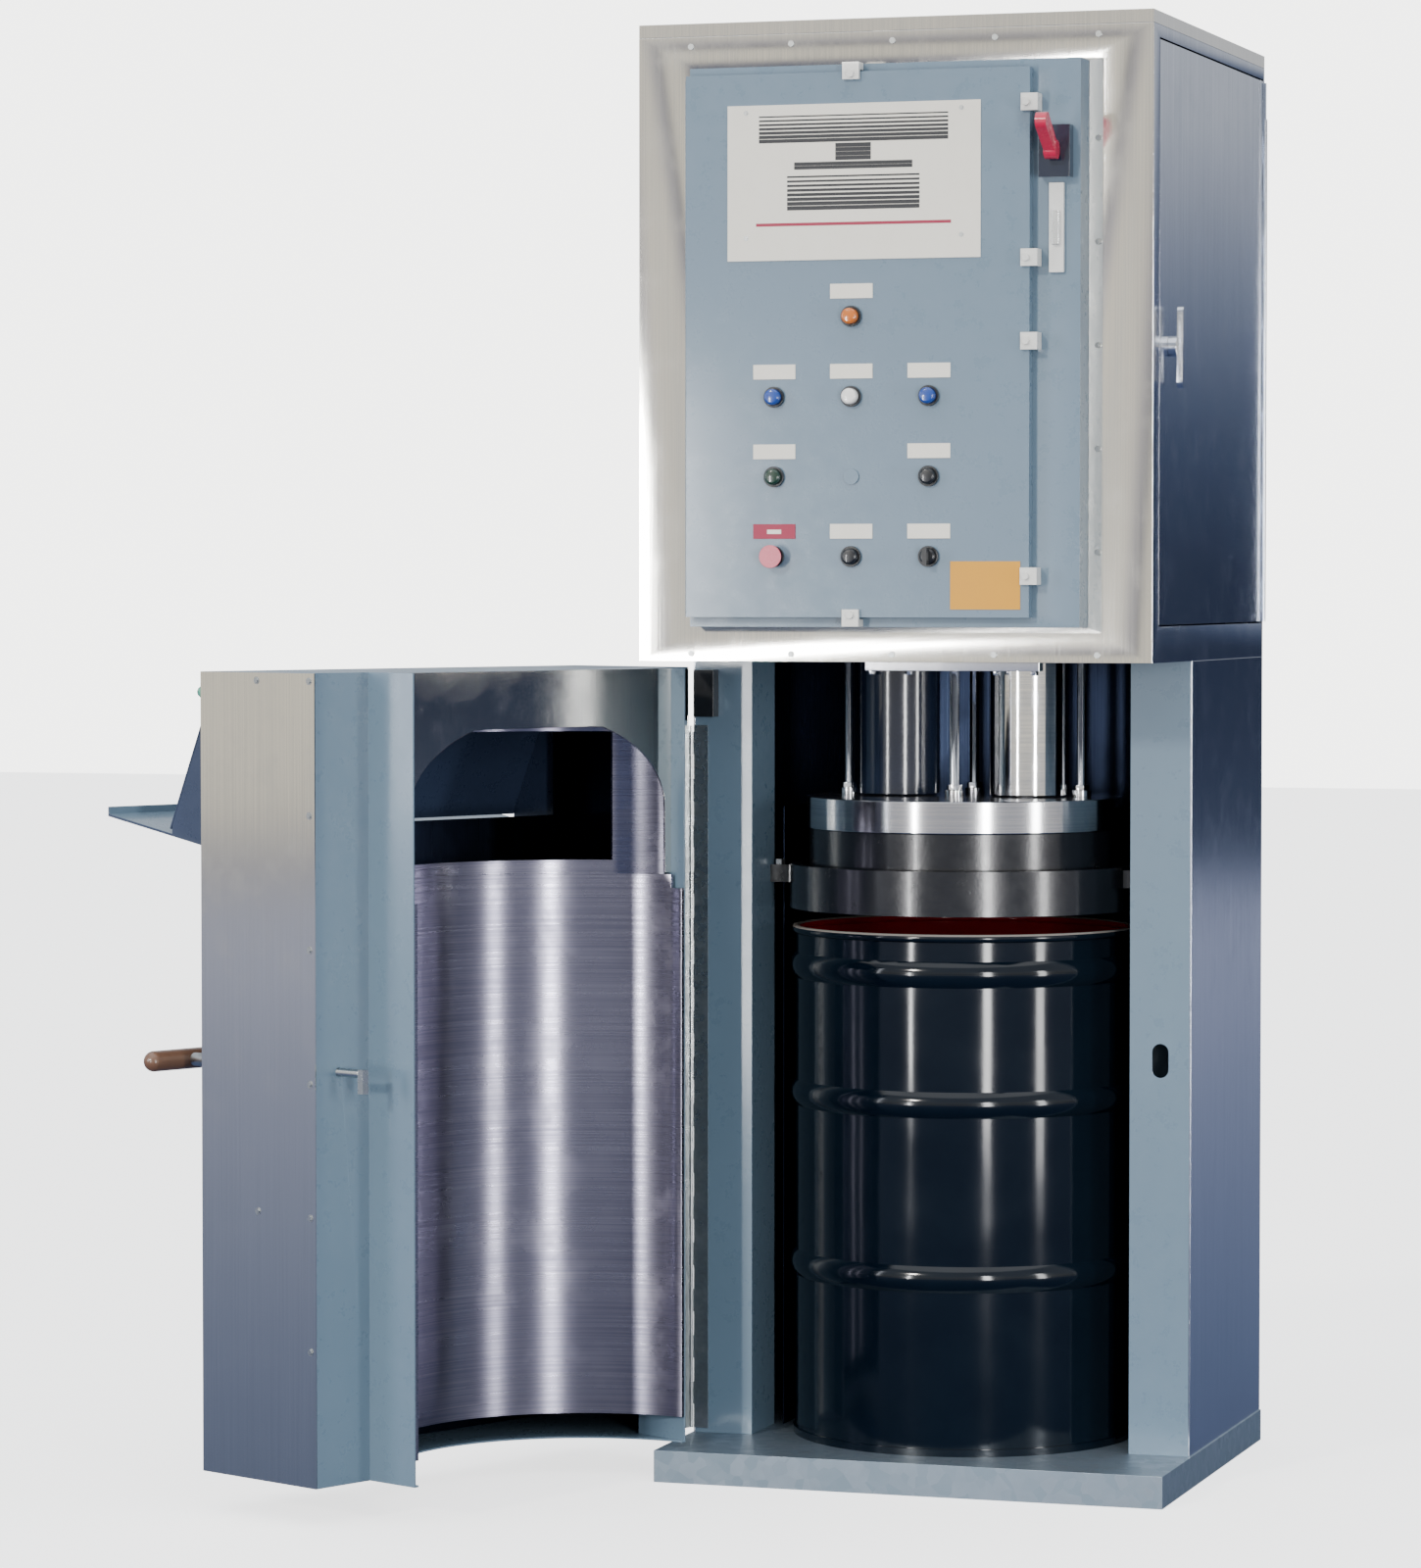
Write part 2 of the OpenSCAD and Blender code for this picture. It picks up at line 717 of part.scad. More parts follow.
module piston_rods() {
    piston_z = barrel_z + gland_h + stroke + 1;
    color("whitesmoke") for (side = [-1, 1]) translate([side * barrel_x, axis_y, 0]) {
        translate([0, 0, ring_top]) cylinder(h = piston_z - ring_top, r = rod_d / 2);
        translate([0, 0, piston_z]) cylinder(h = piston_h, r = bore_r - loose_gap);
    }
}

module guide_rods() {
    color("silver") for (p = GUIDES) translate([p[0], axis_y + p[1], ring_top]) {
        cylinder(h = guide_top - ring_top, r = guide_r);
        cylinder(h = 12, r = guide_r + 8);
        translate([0, 0, 12]) cylinder(h = 9, r = guide_r + 5, $fn = 6);
    }
}

module reservoir() {
    tank_x0 = -half_w + 3 * skin + 26;
    tank_x1 = tank_x0 + tank_w;
    tank_y1 = back_y - 60;
    tank_y0 = tank_y1 - tank_d;
    tank_z = unit_z + tank_h;
    color("slategray") difference() {
        span([tank_x0, tank_y0, unit_z], [tank_x1, tank_y1, tank_z]);
        span([tank_x0 + skin, tank_y0 + skin, unit_z + skin],
            [tank_x1 - skin, tank_y1 - skin, tank_z + through]);
    }
    color("gray") {
        span([tank_x0 - tank_lip, tank_y0 - tank_lip, tank_z],
            [tank_x1 + tank_lip, tank_y1 + tank_lip, tank_z + tank_lid]);
        translate([tank_x0 + 70, tank_y0 + 70, tank_z + tank_lid]) cylinder(h = filler_h, r = 32);
        translate([tank_x1 - 70, tank_y0 + 80, tank_z + tank_lid]) cylinder(h = breather_h, r = 42);
    }
}

module motor() {
    foot_x = motor_r - 5;
    color("steelblue") {
        difference() {
            rod_y(motor_x, motor_z, motor_r, motor_y, motor_y + motor_len);
            for (a = [0 : 20 : 340])
                translate([motor_x, 0, motor_z]) rotate([0, a, 0])
                    span([-3, motor_y + 20, motor_r - fin_depth],
                        [3, motor_y + motor_len - 50, motor_r + through]);
        }
        for (y = [motor_y + 35, motor_y + 150])
            span([motor_x - foot_x, y, unit_z], [motor_x + foot_x, y + 40, unit_z + 1.88 * motor_foot]);
        span([motor_x - 45, motor_y + 70, motor_z + 0.9 * motor_r],
            [motor_x + 45, motor_y + 160, motor_z + motor_r + terminal_h]);
    }
}

module pump() {
    bell_y = motor_y - bell_len;
    color("gray") {
        rod_y(motor_x, motor_z, 0.93 * motor_r, bell_y, motor_y);
        rod_y(motor_x, motor_z, pump_r, bell_y - pump_len, bell_y);
        span([motor_x - 30, bell_y - pump_len + 15, motor_z + pump_r / 2],
            [motor_x + 30, bell_y - 20, motor_z + 1.35 * pump_r]);
    }
}

module valve_manifold() {
    body_w = 56;
    color("lightslategray") {
        span([valve_x, valve_y, unit_z], [valve_x + valve_w, valve_y + valve_d, unit_z + block_h]);
        for (x = [valve_x + 12, valve_x + 82]) {
            span([x, valve_y + 15, unit_z + block_h],
                [x + body_w, valve_y + valve_d - 15, unit_z + block_h + valve_h]);
            rod_y(x + body_w / 2, unit_z + block_h + valve_h / 2, coil_r, valve_y - 45,
                valve_y + valve_d + 45);
        }
    }
}

// A pipe that follows a list of points, with a ball at each bend.
module pipe(points, r) {
    for (i = [0 : len(points) - 2]) {
        step = points[i + 1] - points[i];
        flat = norm([step[0], step[1]]);
        translate(points[i]) rotate([0, atan2(flat, step[2]), atan2(step[1], step[0])])
            cylinder(h = norm(step), r = r);
    }
    for (i = [1 : 1 : len(points) - 2])
        translate(points[i]) sphere(r = r);
}

// Feed pipes leave the block under the valves and run down to each cylinder's two ports.
module hydraulic_pipes() {
    low_z = shelf_z - 75;
    high_z = low_z + 35;
    port_y = axis_y + barrel_r + port_boss;
    run_y = axis_y + barrel_r + 22;
    cap_x = 50;
    rod_x = 68;
    color("silver") for (side = [-1, 1]) {
        pipe([[side * barrel_x, axis_y, barrel_top], [side * barrel_x, axis_y, low_z],
            [side * cap_x, axis_y, low_z], [side * cap_x, valve_y + 60, low_z],
            [side * cap_x, valve_y + 60, shelf_z]], 7);
        pipe([[side * barrel_x, port_y, port_z], [side * barrel_x, run_y, port_z],
            [side * barrel_x, run_y, high_z], [side * rod_x, run_y, high_z],
            [side * rod_x, valve_y + 30, high_z], [side * rod_x, valve_y + 30, shelf_z]], 6);
    }
}

module supply_gland() {
    color("dimgray") {
        rod_y(-half_w + 140, head_z + 130, 16, back_y, back_y + 10);
        rod_y(-half_w + 140, head_z + 130, 11, back_y + 10, back_y + 28);
        translate([-half_w + 140, back_y + 10, head_z + 130]) rotate([-90, 0, 0])
            cylinder(h = 10, r = 15, $fn = 6);
    }
}

module panel_screws() {
    screw_x = box_x + 16;
    low_z = head_z + 13;
    high_z = tower_h - cap_strip - 16;
    color("silver") {
        for (x = [-screw_x, screw_x], i = [0 : 6])
            rod_y(x, low_z + i * (high_z - low_z) / 6, 5, front_y - 2.5, front_y);
        for (z = [low_z, high_z], i = [1 : 3])
            rod_y(-screw_x + i * screw_x / 2, z, 5, front_y - 2.5, front_y);
        both_sides() translate([-post_in + 14, post_y + post_d - 12, collar_z + 70])
            cylinder(h = 9, r = 9, $fn = 6);
    }
}

// ---- hinge and switch on the left post ----

module post_hinge_leaf() {
    color("silver") {
        translate([hinge_x, hinge_y, 0])
            knuckles(1, door_z0, hinge_z1, hinge_r - loose_gap, knuckle_pitch, pin_r + slide_gap);
        for (i = [1 : 2 : floor((hinge_z1 - door_z0) / knuckle_pitch) - 1])
            span([hinge_x + pin_r + 0.5, post_y - leaf, door_z0 + i * knuckle_pitch + loose_gap],
                [-half_w + leaf_w, post_y, door_z0 + (i + 1) * knuckle_pitch - loose_gap]);
        span([-half_w + loose_gap, post_y - leaf, door_z0], [-half_w + leaf_w, post_y, hinge_z1]);
    }
}

module interlock_switch() {
    color("black") span([-half_w + 9, post_y - 30, door_z1 - switch_h - 5],
        [-half_w + 45, post_y, door_z1 - 5]);
}

// ---- main door ----

module door_skin() {
    color("gainsboro") on_door() difference() {
        span([-half_w, door_front, door_z0], [half_w, door_back, door_z1]);
        span([-half_w + skin, door_front + skin, door_z0 - through],
            [half_w - skin, door_back + through, door_z1 + through]);
        span([-tray_x + 20, door_front - through, tray_z0 + 30],
            [tray_x - 20, door_front + 2 * skin, lid_z - 20]);
        rod_y(latch_x, latch_z, spindle_d / 2 + loose_gap, door_front - through, door_front + 2 * skin);
    }
}

module door_frame() {
    inner_x = half_w - skin;
    color("lightsteelblue") on_door() difference() {
        union() {
            both_sides() {
                span([-inner_x, door_back - skin, door_z0], [-plug_x, door_back, door_z1]);
                span([-plug_x, door_back - skin, door_z0], [-liner_r, plug_y, door_z1]);
            }
            span([-inner_x, door_front + skin, door_z0], [inner_x, door_back - skin, door_z0 + skin]);
            span([-liner_r, door_back - skin, door_z0], [liner_r, plug_y, door_z0 + skin]);
            span([-inner_x, door_front + skin, door_z1 - skin], [inner_x, door_back - skin, door_z1]);
            span([-liner_r, door_back - skin, door_z1 - skin], [liner_r, arch_y - skin, door_z1]);
        }
        translate([0, axis_y, door_z0 - through]) cylinder(h = 2 * through + skin, r = liner_r, $fn = 96);
        span([-half_w, door_back - 2 * skin, hinge_z1 + 8],
            [-half_w + 62, door_back + through, door_z1 - skin]);
        rod_y(latch_x, latch_z, spindle_d / 2 + loose_gap, door_back - 2 * skin, door_back + through);
    }
}

// The half of a chamber tube that rides on the door, from height z0 to z1 and in front of y.
module half_tube(outer, inner, z0, z1, y) {
    intersection() {
        translate([0, axis_y, 0]) tube(outer, inner, z0, z1, $fn = 96);
        span([-half_w, door_front, 0], [half_w, y, head_z]);
    }
}

module door_liner() {
    edge_x = sqrt(pow(liner_r, 2) - pow(axis_y - plug_y, 2));
    color("silver") on_door() {
        half_tube(liner_r + liner_t, liner_r, liner_z0, rim_z, plug_y);
        half_tube(liner_r + 3 * liner_t, liner_r, rim_z, rim_z + 23, plug_y - 20);
        both_sides()
            span([-liner_r, plug_y - liner_t, liner_z0], [-edge_x, plug_y, rim_z]);
    }
}

// The flat plate over the chamber's mouth, with an arched opening under a straight header.
module arch_panel() {
    spring_z = header_z - 138;
    rise = 158;
    arc_step = 5;
    color("gainsboro") on_door() translate([0, arch_y, 0]) rotate([90, 0, 0])
        linear_extrude(height = skin) difference() {
        translate([-liner_r, arch_z0]) square([2 * liner_r, door_z1 - arch_z0]);
        polygon(concat([[arch_half, arch_z0 - through], [arch_half, spring_z]],
            [for (a = [arc_step : arc_step : 180 - arc_step])
                [arch_half * cos(a), min(spring_z + rise * sin(a), header_z)]],
            [[-arch_half, spring_z], [-arch_half, arch_z0 - through]]));
    }
}

module window_liner() {
    window_x = 260;
    window_z0 = arch_z0 + 20;
    color("slategray") on_door() {
        difference() {
            half_tube(liner_r + liner_t, liner_r, rim_z + 23, header_z, arch_y - skin - loose_gap);
            span([-window_x, door_front, window_z0], [window_x, axis_y - liner_r / 2, header_z - 12]);
        }
        intersection() {
            translate([0, axis_y, header_z]) cylinder(h = liner_t, r = liner_r + liner_t, $fn = 96);
            span([-half_w, door_front, 0], [half_w, arch_y - skin - loose_gap, head_z]);
        }
    }
}

module door_hinge_leaf() {
    color("silver") on_door() {
        translate([hinge_x, hinge_y, 0]) {
            knuckles(0, door_z0, hinge_z1, hinge_r - loose_gap, knuckle_pitch, 0);
            translate([0, 0, door_z0 + 1]) cylinder(h = hinge_z1 - door_z0 - 2, r = pin_r);
        }
        for (i = [0 : 2 : floor((hinge_z1 - door_z0) / knuckle_pitch) - 1])
            span([hinge_x, door_back, door_z0 + i * knuckle_pitch + loose_gap],
                [-half_w + leaf_w, door_back + leaf - 0.2, door_z0 + (i + 1) * knuckle_pitch - loose_gap]);
        span([-half_w + loose_gap, door_back, door_z0],
            [-half_w + leaf_w, door_back + leaf - 0.2, hinge_z1]);
    }
}

// Height of the cheeks' sloping edge, just under the lid, at a distance out from the door.
function cheek_z(out) = lid_z - (out - hinge_r - loose_gap) * tan(lid_slope) - 4.6;

module loading_tray() {
    side = [[0, cheek_z(0)], [0, tray_z0 - 1], [lid_out, tray_at_lid - 1], [lid_out, cheek_z(lid_out)]];
    color("lightsteelblue") on_door() translate([0, door_front, 0]) {
        rotate([90, 0, 90]) translate([0, 0, -tray_x]) linear_extrude(height = 2 * tray_x)
            polygon([[0, tray_z0 - 4], [0, tray_z0], [-tray_reach + 3, tray_z1],
                [-tray_reach + 3, tray_z1 + 12],
                [-tray_reach, tray_z1 + 12], [-tray_reach, tray_z1 - 4]]);
        for (x = [-tray_x, tray_x - skin])
            translate([x, 0, 0]) rotate([90, 0, 90]) linear_extrude(height = skin)
                polygon([for (p = side) [-p[0], p[1]]]);
    }
}

module loading_lid() {
    pull_w = 120;
    pull_d = 14;
    pull_h = 22;
    pull_from = 12;
    color("slategray") on_door() translate([0, door_front - hinge_r - loose_gap, lid_z]) {
        translate([-tray_x + skin + 1, 0, 0]) rotate([0, 90, 0])
            cylinder(h = 2 * (tray_x - skin - 1), r = hinge_r);
        rotate([lid_slope, 0, 0]) {
            span([-tray_x, -lid_reach, -skin / 2], [tray_x, 0, skin / 2]);
            translate([-pull_w / 2, pull_from - lid_reach, skin / 2]) cube([pull_w, pull_d, pull_h]);
        }
    }
}

module door_lamp() {
    color("mediumseagreen") on_door() translate([half_w - 20, door_front, door_z1 - 34])
        rotate([90, 0, 0]) {
        cylinder(h = 10, r = 15);
        translate([0, 0, 10]) cylinder(h = 12, r1 = 12, r2 = 8);
    }
}

module handle_grip() {
    grip_r = 17;
    grip_x = 75;
    out = 92;
    color("saddlebrown") on_door() translate([latch_x, door_front - out, latch_z]) {
        translate([-grip_x, 0, 0]) rotate([0, 90, 0]) cylinder(h = 2 * grip_x, r = grip_r);
        for (x = [-grip_x, grip_x]) translate([x, 0, 0]) sphere(r = grip_r);
    }
}

module latch_spindle() {
    grip_foot = door_front - 92 + 17;
    color("silver") on_door() {
        rod_y(latch_x, latch_z, spindle_d / 2, door_front - loose_gap, hook_y);
        rod_y(latch_x, latch_z, 22, door_front - loose_gap - 14, door_front - loose_gap);
        rod_y(latch_x, latch_z, 11, grip_foot, door_front - loose_gap - 14);
        span([latch_x - hook_w / 2, hook_y, latch_z - hook_h + 10],
            [latch_x + hook_w / 2, hook_y + 12, latch_z + 7]);
    }
}

// ---- the drum ----

// Section of the drum wall: a straight wall with pressed hoops, a curled rim and a chime.
module drum_section() {
    hoop_proud = 8.5;
    hoop_r = 33;
    curl_r = 7;
    chime_h = 12;
    chime_proud = 4;
    wall_r = drum_r - hoop_proud;
    hoops = [0.339 * drum_h, 0.673 * drum_h, drum_h - 68];
    difference() {
        union() {
            translate([wall_r - drum_wall, 0]) square([drum_wall, drum_h - curl_r + drum_wall]);
            for (z = hoops) intersection() {
                translate([drum_r - hoop_r, z]) circle(r = hoop_r, $fn = 64);
                translate([wall_r - drum_wall, z - hoop_r]) square([2 * hoop_proud, 2 * hoop_r]);
            }
        }
        for (z = hoops) translate([drum_r - hoop_r, z]) circle(r = hoop_r - drum_wall, $fn = 64);
    }
    translate([wall_r, drum_h - curl_r]) circle(r = curl_r, $fn = 24);
    translate([wall_r - drum_wall, 0]) square([drum_wall + chime_proud, chime_h]);
    translate([0, chime_h]) square([wall_r, drum_wall]);
}

module drum() {
    color("midnightblue") translate([0, axis_y, drum_z]) rotate_extrude($fn = 128) drum_section();
}

base();
left_post();
right_post();
lower_side_panels();
rear_panel();
chamber_liner();
guide_collar();
press_deck();
head_frame();
head_front_panel();
head_left_panel();
head_right_panel();
head_cap();
control_box();
cylinder_barrels();
guide_bushes();
cylinder_bracket();
reservoir();
motor();
pump();
valve_manifold();
hydraulic_pipes();
component_panel();
isolator_base();
post_hinge_leaf();
interlock_switch();
supply_gland();
panel_screws();
door_skin();
door_frame();
door_liner();
arch_panel();
window_liner();
door_hinge_leaf();
loading_tray();
door_lamp();
loading_lid();
handle_grip();
latch_spindle();
ring_plate();
platen();
piston_rods();
guide_rods();
drum();
control_door();
legend_plates();
door_clamps();
button_bezels();
pilot_light();
blue_button_left();
white_button();
blue_button_right();
green_button();
black_button_high();
stop_button();
black_button_low();
selector();
isolator_handle();
side_door();
side_door_handle();
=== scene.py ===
# %% [markdown]
# # A drum press, dressed in Blender
# The machine is a steel cabinet that squeezes waste down inside a 55 gallon drum. Its plates,
# joints and sizes come from a CAD frame, so nothing here moves or resizes them. What Blender adds
# is the finish: brushed and polished stainless, baked enamel, glossy drum paint, moulded plastic,
# screws and the marks that use leaves on them.

# %% Load the frame
import json
import math
import bmesh
import bpy
from mathutils import Matrix, Vector


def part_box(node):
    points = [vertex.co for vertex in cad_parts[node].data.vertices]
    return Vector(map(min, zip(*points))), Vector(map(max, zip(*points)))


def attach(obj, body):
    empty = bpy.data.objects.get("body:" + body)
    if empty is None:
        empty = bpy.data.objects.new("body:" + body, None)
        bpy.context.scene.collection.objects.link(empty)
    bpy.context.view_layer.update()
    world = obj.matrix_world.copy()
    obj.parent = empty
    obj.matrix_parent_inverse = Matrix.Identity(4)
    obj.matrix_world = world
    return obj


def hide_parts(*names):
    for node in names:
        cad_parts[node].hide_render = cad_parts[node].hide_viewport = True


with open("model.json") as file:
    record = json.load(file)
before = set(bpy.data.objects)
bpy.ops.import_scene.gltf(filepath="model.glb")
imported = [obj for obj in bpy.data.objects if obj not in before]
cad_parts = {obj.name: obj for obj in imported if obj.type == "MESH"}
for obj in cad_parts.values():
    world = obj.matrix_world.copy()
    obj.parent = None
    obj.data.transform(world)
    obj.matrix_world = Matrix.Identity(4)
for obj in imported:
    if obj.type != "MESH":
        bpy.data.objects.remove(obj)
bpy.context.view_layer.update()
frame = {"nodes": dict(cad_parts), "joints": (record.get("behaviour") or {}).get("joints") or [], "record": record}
BODY_OF = {n: body for body, names in frame["record"]["behaviour"]["bodies"].items() for n in names}
JOINT = {joint["name"]: joint for joint in frame["joints"]}

# %% [markdown]
# ## Places that everything else is measured from
# The main door stands open, so its own "across" and "outward" directions are turned. The outward
# direction comes from a joint: the latch spindle points straight out of the door's face. Across is
# level and square to it, the way the lid's hinge runs.

# %% Directions of the open door
OUT = Vector(JOINT["door_handle_turn"]["axis"]).normalized()
ACROSS = Vector((OUT.y * -1, OUT.x, 0))
DOOR_TURN = math.atan2(ACROSS.y, ACROSS.x)
HINGE = Vector(JOINT["main_door_hinge"]["pos_m"])
print("door faces", tuple(round(v, 3) for v in OUT), "turned", round(math.degrees(DOOR_TURN)), "degrees")


def low(node):
    """Lowest corner of a CAD node."""
    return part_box(node)[0]


def high(node):
    """Highest corner of a CAD node."""
    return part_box(node)[1]


def middle(node):
    """Centre of a CAD node's box."""
    return (low(node) + high(node)) / 2


# %% [markdown]
# ## Camera
# A long lens, a little above waist height and 18 degrees round to the right, keeps the cabinet's
# uprights parallel and shows its front, its right side and the inside of the open door.

# %% Camera
AZIMUTH, ELEVATION, DISTANCE = math.radians(18.0), math.radians(2.165), 9.4
AIM = Vector((-0.449, 0.0, 1.167))
camera_data = bpy.data.cameras.new("camera")
camera_data.lens = 124.0
camera_data.sensor_width = 36.0
camera = bpy.data.objects.new("camera", camera_data)
bpy.context.scene.collection.objects.link(camera)
back = Vector((math.sin(AZIMUTH) * math.cos(ELEVATION), -math.cos(AZIMUTH) * math.cos(ELEVATION), math.sin(ELEVATION)))
camera.location = AIM + DISTANCE * back
camera.rotation_euler = back.to_track_quat("Z", "Y").to_euler()
bpy.context.scene.camera = camera
print("camera at", tuple(round(v, 2) for v in camera.location))

# %% [markdown]
# ## Colours and nodes
# Colours are written as the hex values a paint chart gives, which are sRGB. Shaders work in
# linear light, so one function converts them. A second function adds a node, sets its properties
# and socket values, and links its inputs.


# %% Colour and node helpers
def linear(code):
    """A hex sRGB colour as linear RGBA."""
    parts = [int(code[i:i + 2], 16) / 255 for i in (1, 3, 5)]
    return tuple(c / 12.92 if c <= 0.04045 else ((c + 0.055) / 1.055) ** 2.4 for c in parts) + (1.0,)


def add(tree, kind, links=None, values=None, **settings):
    """Adds one node with its settings, its socket values and the outputs that feed it."""
    node = tree.nodes.new(kind)
    for name, value in settings.items():
        setattr(node, name, value)
    for name, value in (values or {}).items():
        node.inputs[name].default_value = value
    for name, source in (links or {}).items():
        tree.links.new(source, node.inputs[name])
    return node


def start_material(name, **values):
    """An empty material: returns it with its tree, its shader and its object coordinates."""
    material = bpy.data.materials.new(name)
    material.use_nodes = True
    tree = material.node_tree
    shader = tree.nodes["Principled BSDF"]
    for socket, value in values.items():
        shader.inputs[socket.replace("_", " ")].default_value = value
    place = add(tree, "ShaderNodeTexCoord").outputs["Object"]
    return material, tree, shader, place


# %% [markdown]
# ## Stainless sheet
# The panels are cold-rolled stainless steel. Mill belts leave fine parallel scratches: up and
# down on the cabinet, and round the half drum of the door. Real scratches are about 0.1 mm wide,
# too fine to show from nine metres, so they are drawn 1 to 2 mm wide. A noise stretched along the
# grain feeds the roughness, the colour and a slight bump; a second, broad noise adds the uneven
# sheen that rolled sheet has.


# %% Stainless steel
def stretch_glints(tree, shader, amount, upright):
    """Brushing stretches every glint across the grain: up and down, or level along the sheet."""
    up = add(tree, "ShaderNodeVectorTransform", None, {"Vector": (0, 0, 1)}, vector_type="VECTOR",
             convert_from="OBJECT", convert_to="WORLD")
    tangent = up.outputs[0]
    if not upright:
        normal = add(tree, "ShaderNodeNewGeometry").outputs["True Normal"]
        tangent = add(tree, "ShaderNodeVectorMath", {0: up.outputs[0], 1: normal}, operation="CROSS_PRODUCT").outputs[0]
    tree.links.new(tangent, shader.inputs["Tangent"])
    shader.inputs["Anisotropic"].default_value = amount


def stainless(name, colour, tint, roughness, grain, depth, smudge=0.3, glint=0.0, upright=False):
    """Brushed stainless. grain = cycles per metre along X, Y and Z; depth = bump in metres."""
    material, tree, shader, place = start_material(name, Metallic=1.0)
    turned = add(tree, "ShaderNodeMapping", {"Vector": place}, {"Scale": grain})
    lines = add(tree, "ShaderNodeTexNoise", {"Vector": turned.outputs[0]}, {"Scale": 1.0, "Detail": 3.0})
    cloud = add(tree, "ShaderNodeTexNoise", {"Vector": place}, {"Scale": 1.7, "Detail": 3.0, "Roughness": 0.5})
    spots = add(tree, "ShaderNodeTexNoise", {"Vector": place}, {"Scale": 14.0, "Detail": 6.0, "Roughness": 0.65})
    both = add(tree, "ShaderNodeMath", {0: cloud.outputs[0], 1: lines.outputs[0]}, operation="ADD")
    ramp = add(tree, "ShaderNodeMapRange", {"Value": both.outputs[0]}, {"From Min": 0.75, "From Max": 1.25})
    mix = add(tree, "ShaderNodeMix", {"Factor": ramp.outputs[0]}, data_type="RGBA")
    mix.inputs[6].default_value = linear(tint)
    mix.inputs[7].default_value = linear(colour)
    tree.links.new(mix.outputs[2], shader.inputs["Base Color"])
    dull = add(tree, "ShaderNodeMapRange", {"Value": spots.outputs[0]},
               {"From Min": 0.5, "From Max": 0.8, "To Min": 0.0, "To Max": smudge * 0.3})
    rough = add(tree, "ShaderNodeMapRange", {"Value": both.outputs[0]},
                {"From Min": 0.7, "From Max": 1.3, "To Min": roughness * 1.2, "To Max": roughness * 0.8})
    total = add(tree, "ShaderNodeMath", {0: rough.outputs[0], 1: dull.outputs[0]}, operation="ADD")
    tree.links.new(total.outputs[0], shader.inputs["Roughness"])
    bump = add(tree, "ShaderNodeBump", {"Height": lines.outputs[0]}, {"Strength": 0.3, "Distance": depth})
    tree.links.new(bump.outputs[0], shader.inputs["Normal"])
    if glint:
        stretch_glints(tree, shader, glint, upright)
    return material


UPRIGHT = (420.0, 420.0, 3.0)
LEVEL = (2.0, 2.0, 420.0)
polished = stainless("polished_stainless", "#EDEAE2", "#DEDCD6", 0.10, UPRIGHT, 0.00008, 0.15)
side_sheet = stainless("side_stainless", "#D3D8E2", "#BFC6D2", 0.18, UPRIGHT, 0.0001, 0.2, 0.4)
liner_sheet = stainless("liner_stainless", "#A29FAE", "#807E90", 0.28, LEVEL, 0.0003, 0.5, 0.85, True)
turned_steel = stainless("turned_steel", "#E2E1E0", "#C4C6CC", 0.16, (2.0, 2.0, 700.0), 0.0001, 0.2, 0.6, True)
ground_rod = stainless("ground_chrome_rod", "#EDEDED", "#D8DADF", 0.09, (3.0, 3.0, 300.0), 0.00005)
# Painted shade: a near-black blue steel stands in for the shade inside the chamber and behind the sheets.
shade_painted_steel = stainless("shadowed_stainless", "#232A3A", "#1A2030", 0.30, UPRIGHT, 0.0002)
plated = stainless("zinc_plated_steel", "#C9CCCB", "#A8ACAC", 0.30, (60.0, 60.0, 60.0), 0.0001)
print("stainless finishes made")

# %% [markdown]
# ## Baked enamel
# The posts, the door's frame and the control enclosure are sprayed blue-grey enamel, baked hard.
# Spraying leaves orange peel, soft lumps a few millimetres across, and handling leaves rubbed
# patches that are a little glossier. IOR 1.5 is typical for enamel, over a smooth coat.


# %% Enamel
def enamel(name, colour, worn, roughness=0.32, peel=0.0004, coat=0.15, patch=3.0):
    """Sprayed and baked paint over steel."""
    material, tree, shader, place = start_material(name, IOR=1.5, Coat_Weight=coat, Coat_Roughness=0.12)
    lumps = add(tree, "ShaderNodeTexNoise", {"Vector": place}, {"Scale": 210.0, "Detail": 2.0})
    cloud = add(tree, "ShaderNodeTexNoise", {"Vector": place}, {"Scale": patch, "Detail": 6.0, "Roughness": 0.62})
    scuffs = add(tree, "ShaderNodeTexNoise", {"Vector": place}, {"Scale": 26.0, "Detail": 8.0, "Roughness": 0.75})
    ramp = add(tree, "ShaderNodeMapRange", {"Value": cloud.outputs[0]}, {"From Min": 0.2, "From Max": 0.85})
    mix = add(tree, "ShaderNodeMix", {"Factor": ramp.outputs[0]}, data_type="RGBA")
    mix.inputs[6].default_value = linear(colour)
    mix.inputs[7].default_value = linear(worn)
    tree.links.new(mix.outputs[2], shader.inputs["Base Color"])
    rough = add(tree, "ShaderNodeMapRange", {"Value": scuffs.outputs[0]},
                {"From Min": 0.35, "From Max": 0.7, "To Min": roughness * 0.8, "To Max": roughness * 1.35})
    tree.links.new(rough.outputs[0], shader.inputs["Roughness"])
    bump = add(tree, "ShaderNodeBump", {"Height": lumps.outputs[0]}, {"Strength": 0.3, "Distance": peel})
    tree.links.new(bump.outputs[0], shader.inputs["Normal"])
    return material


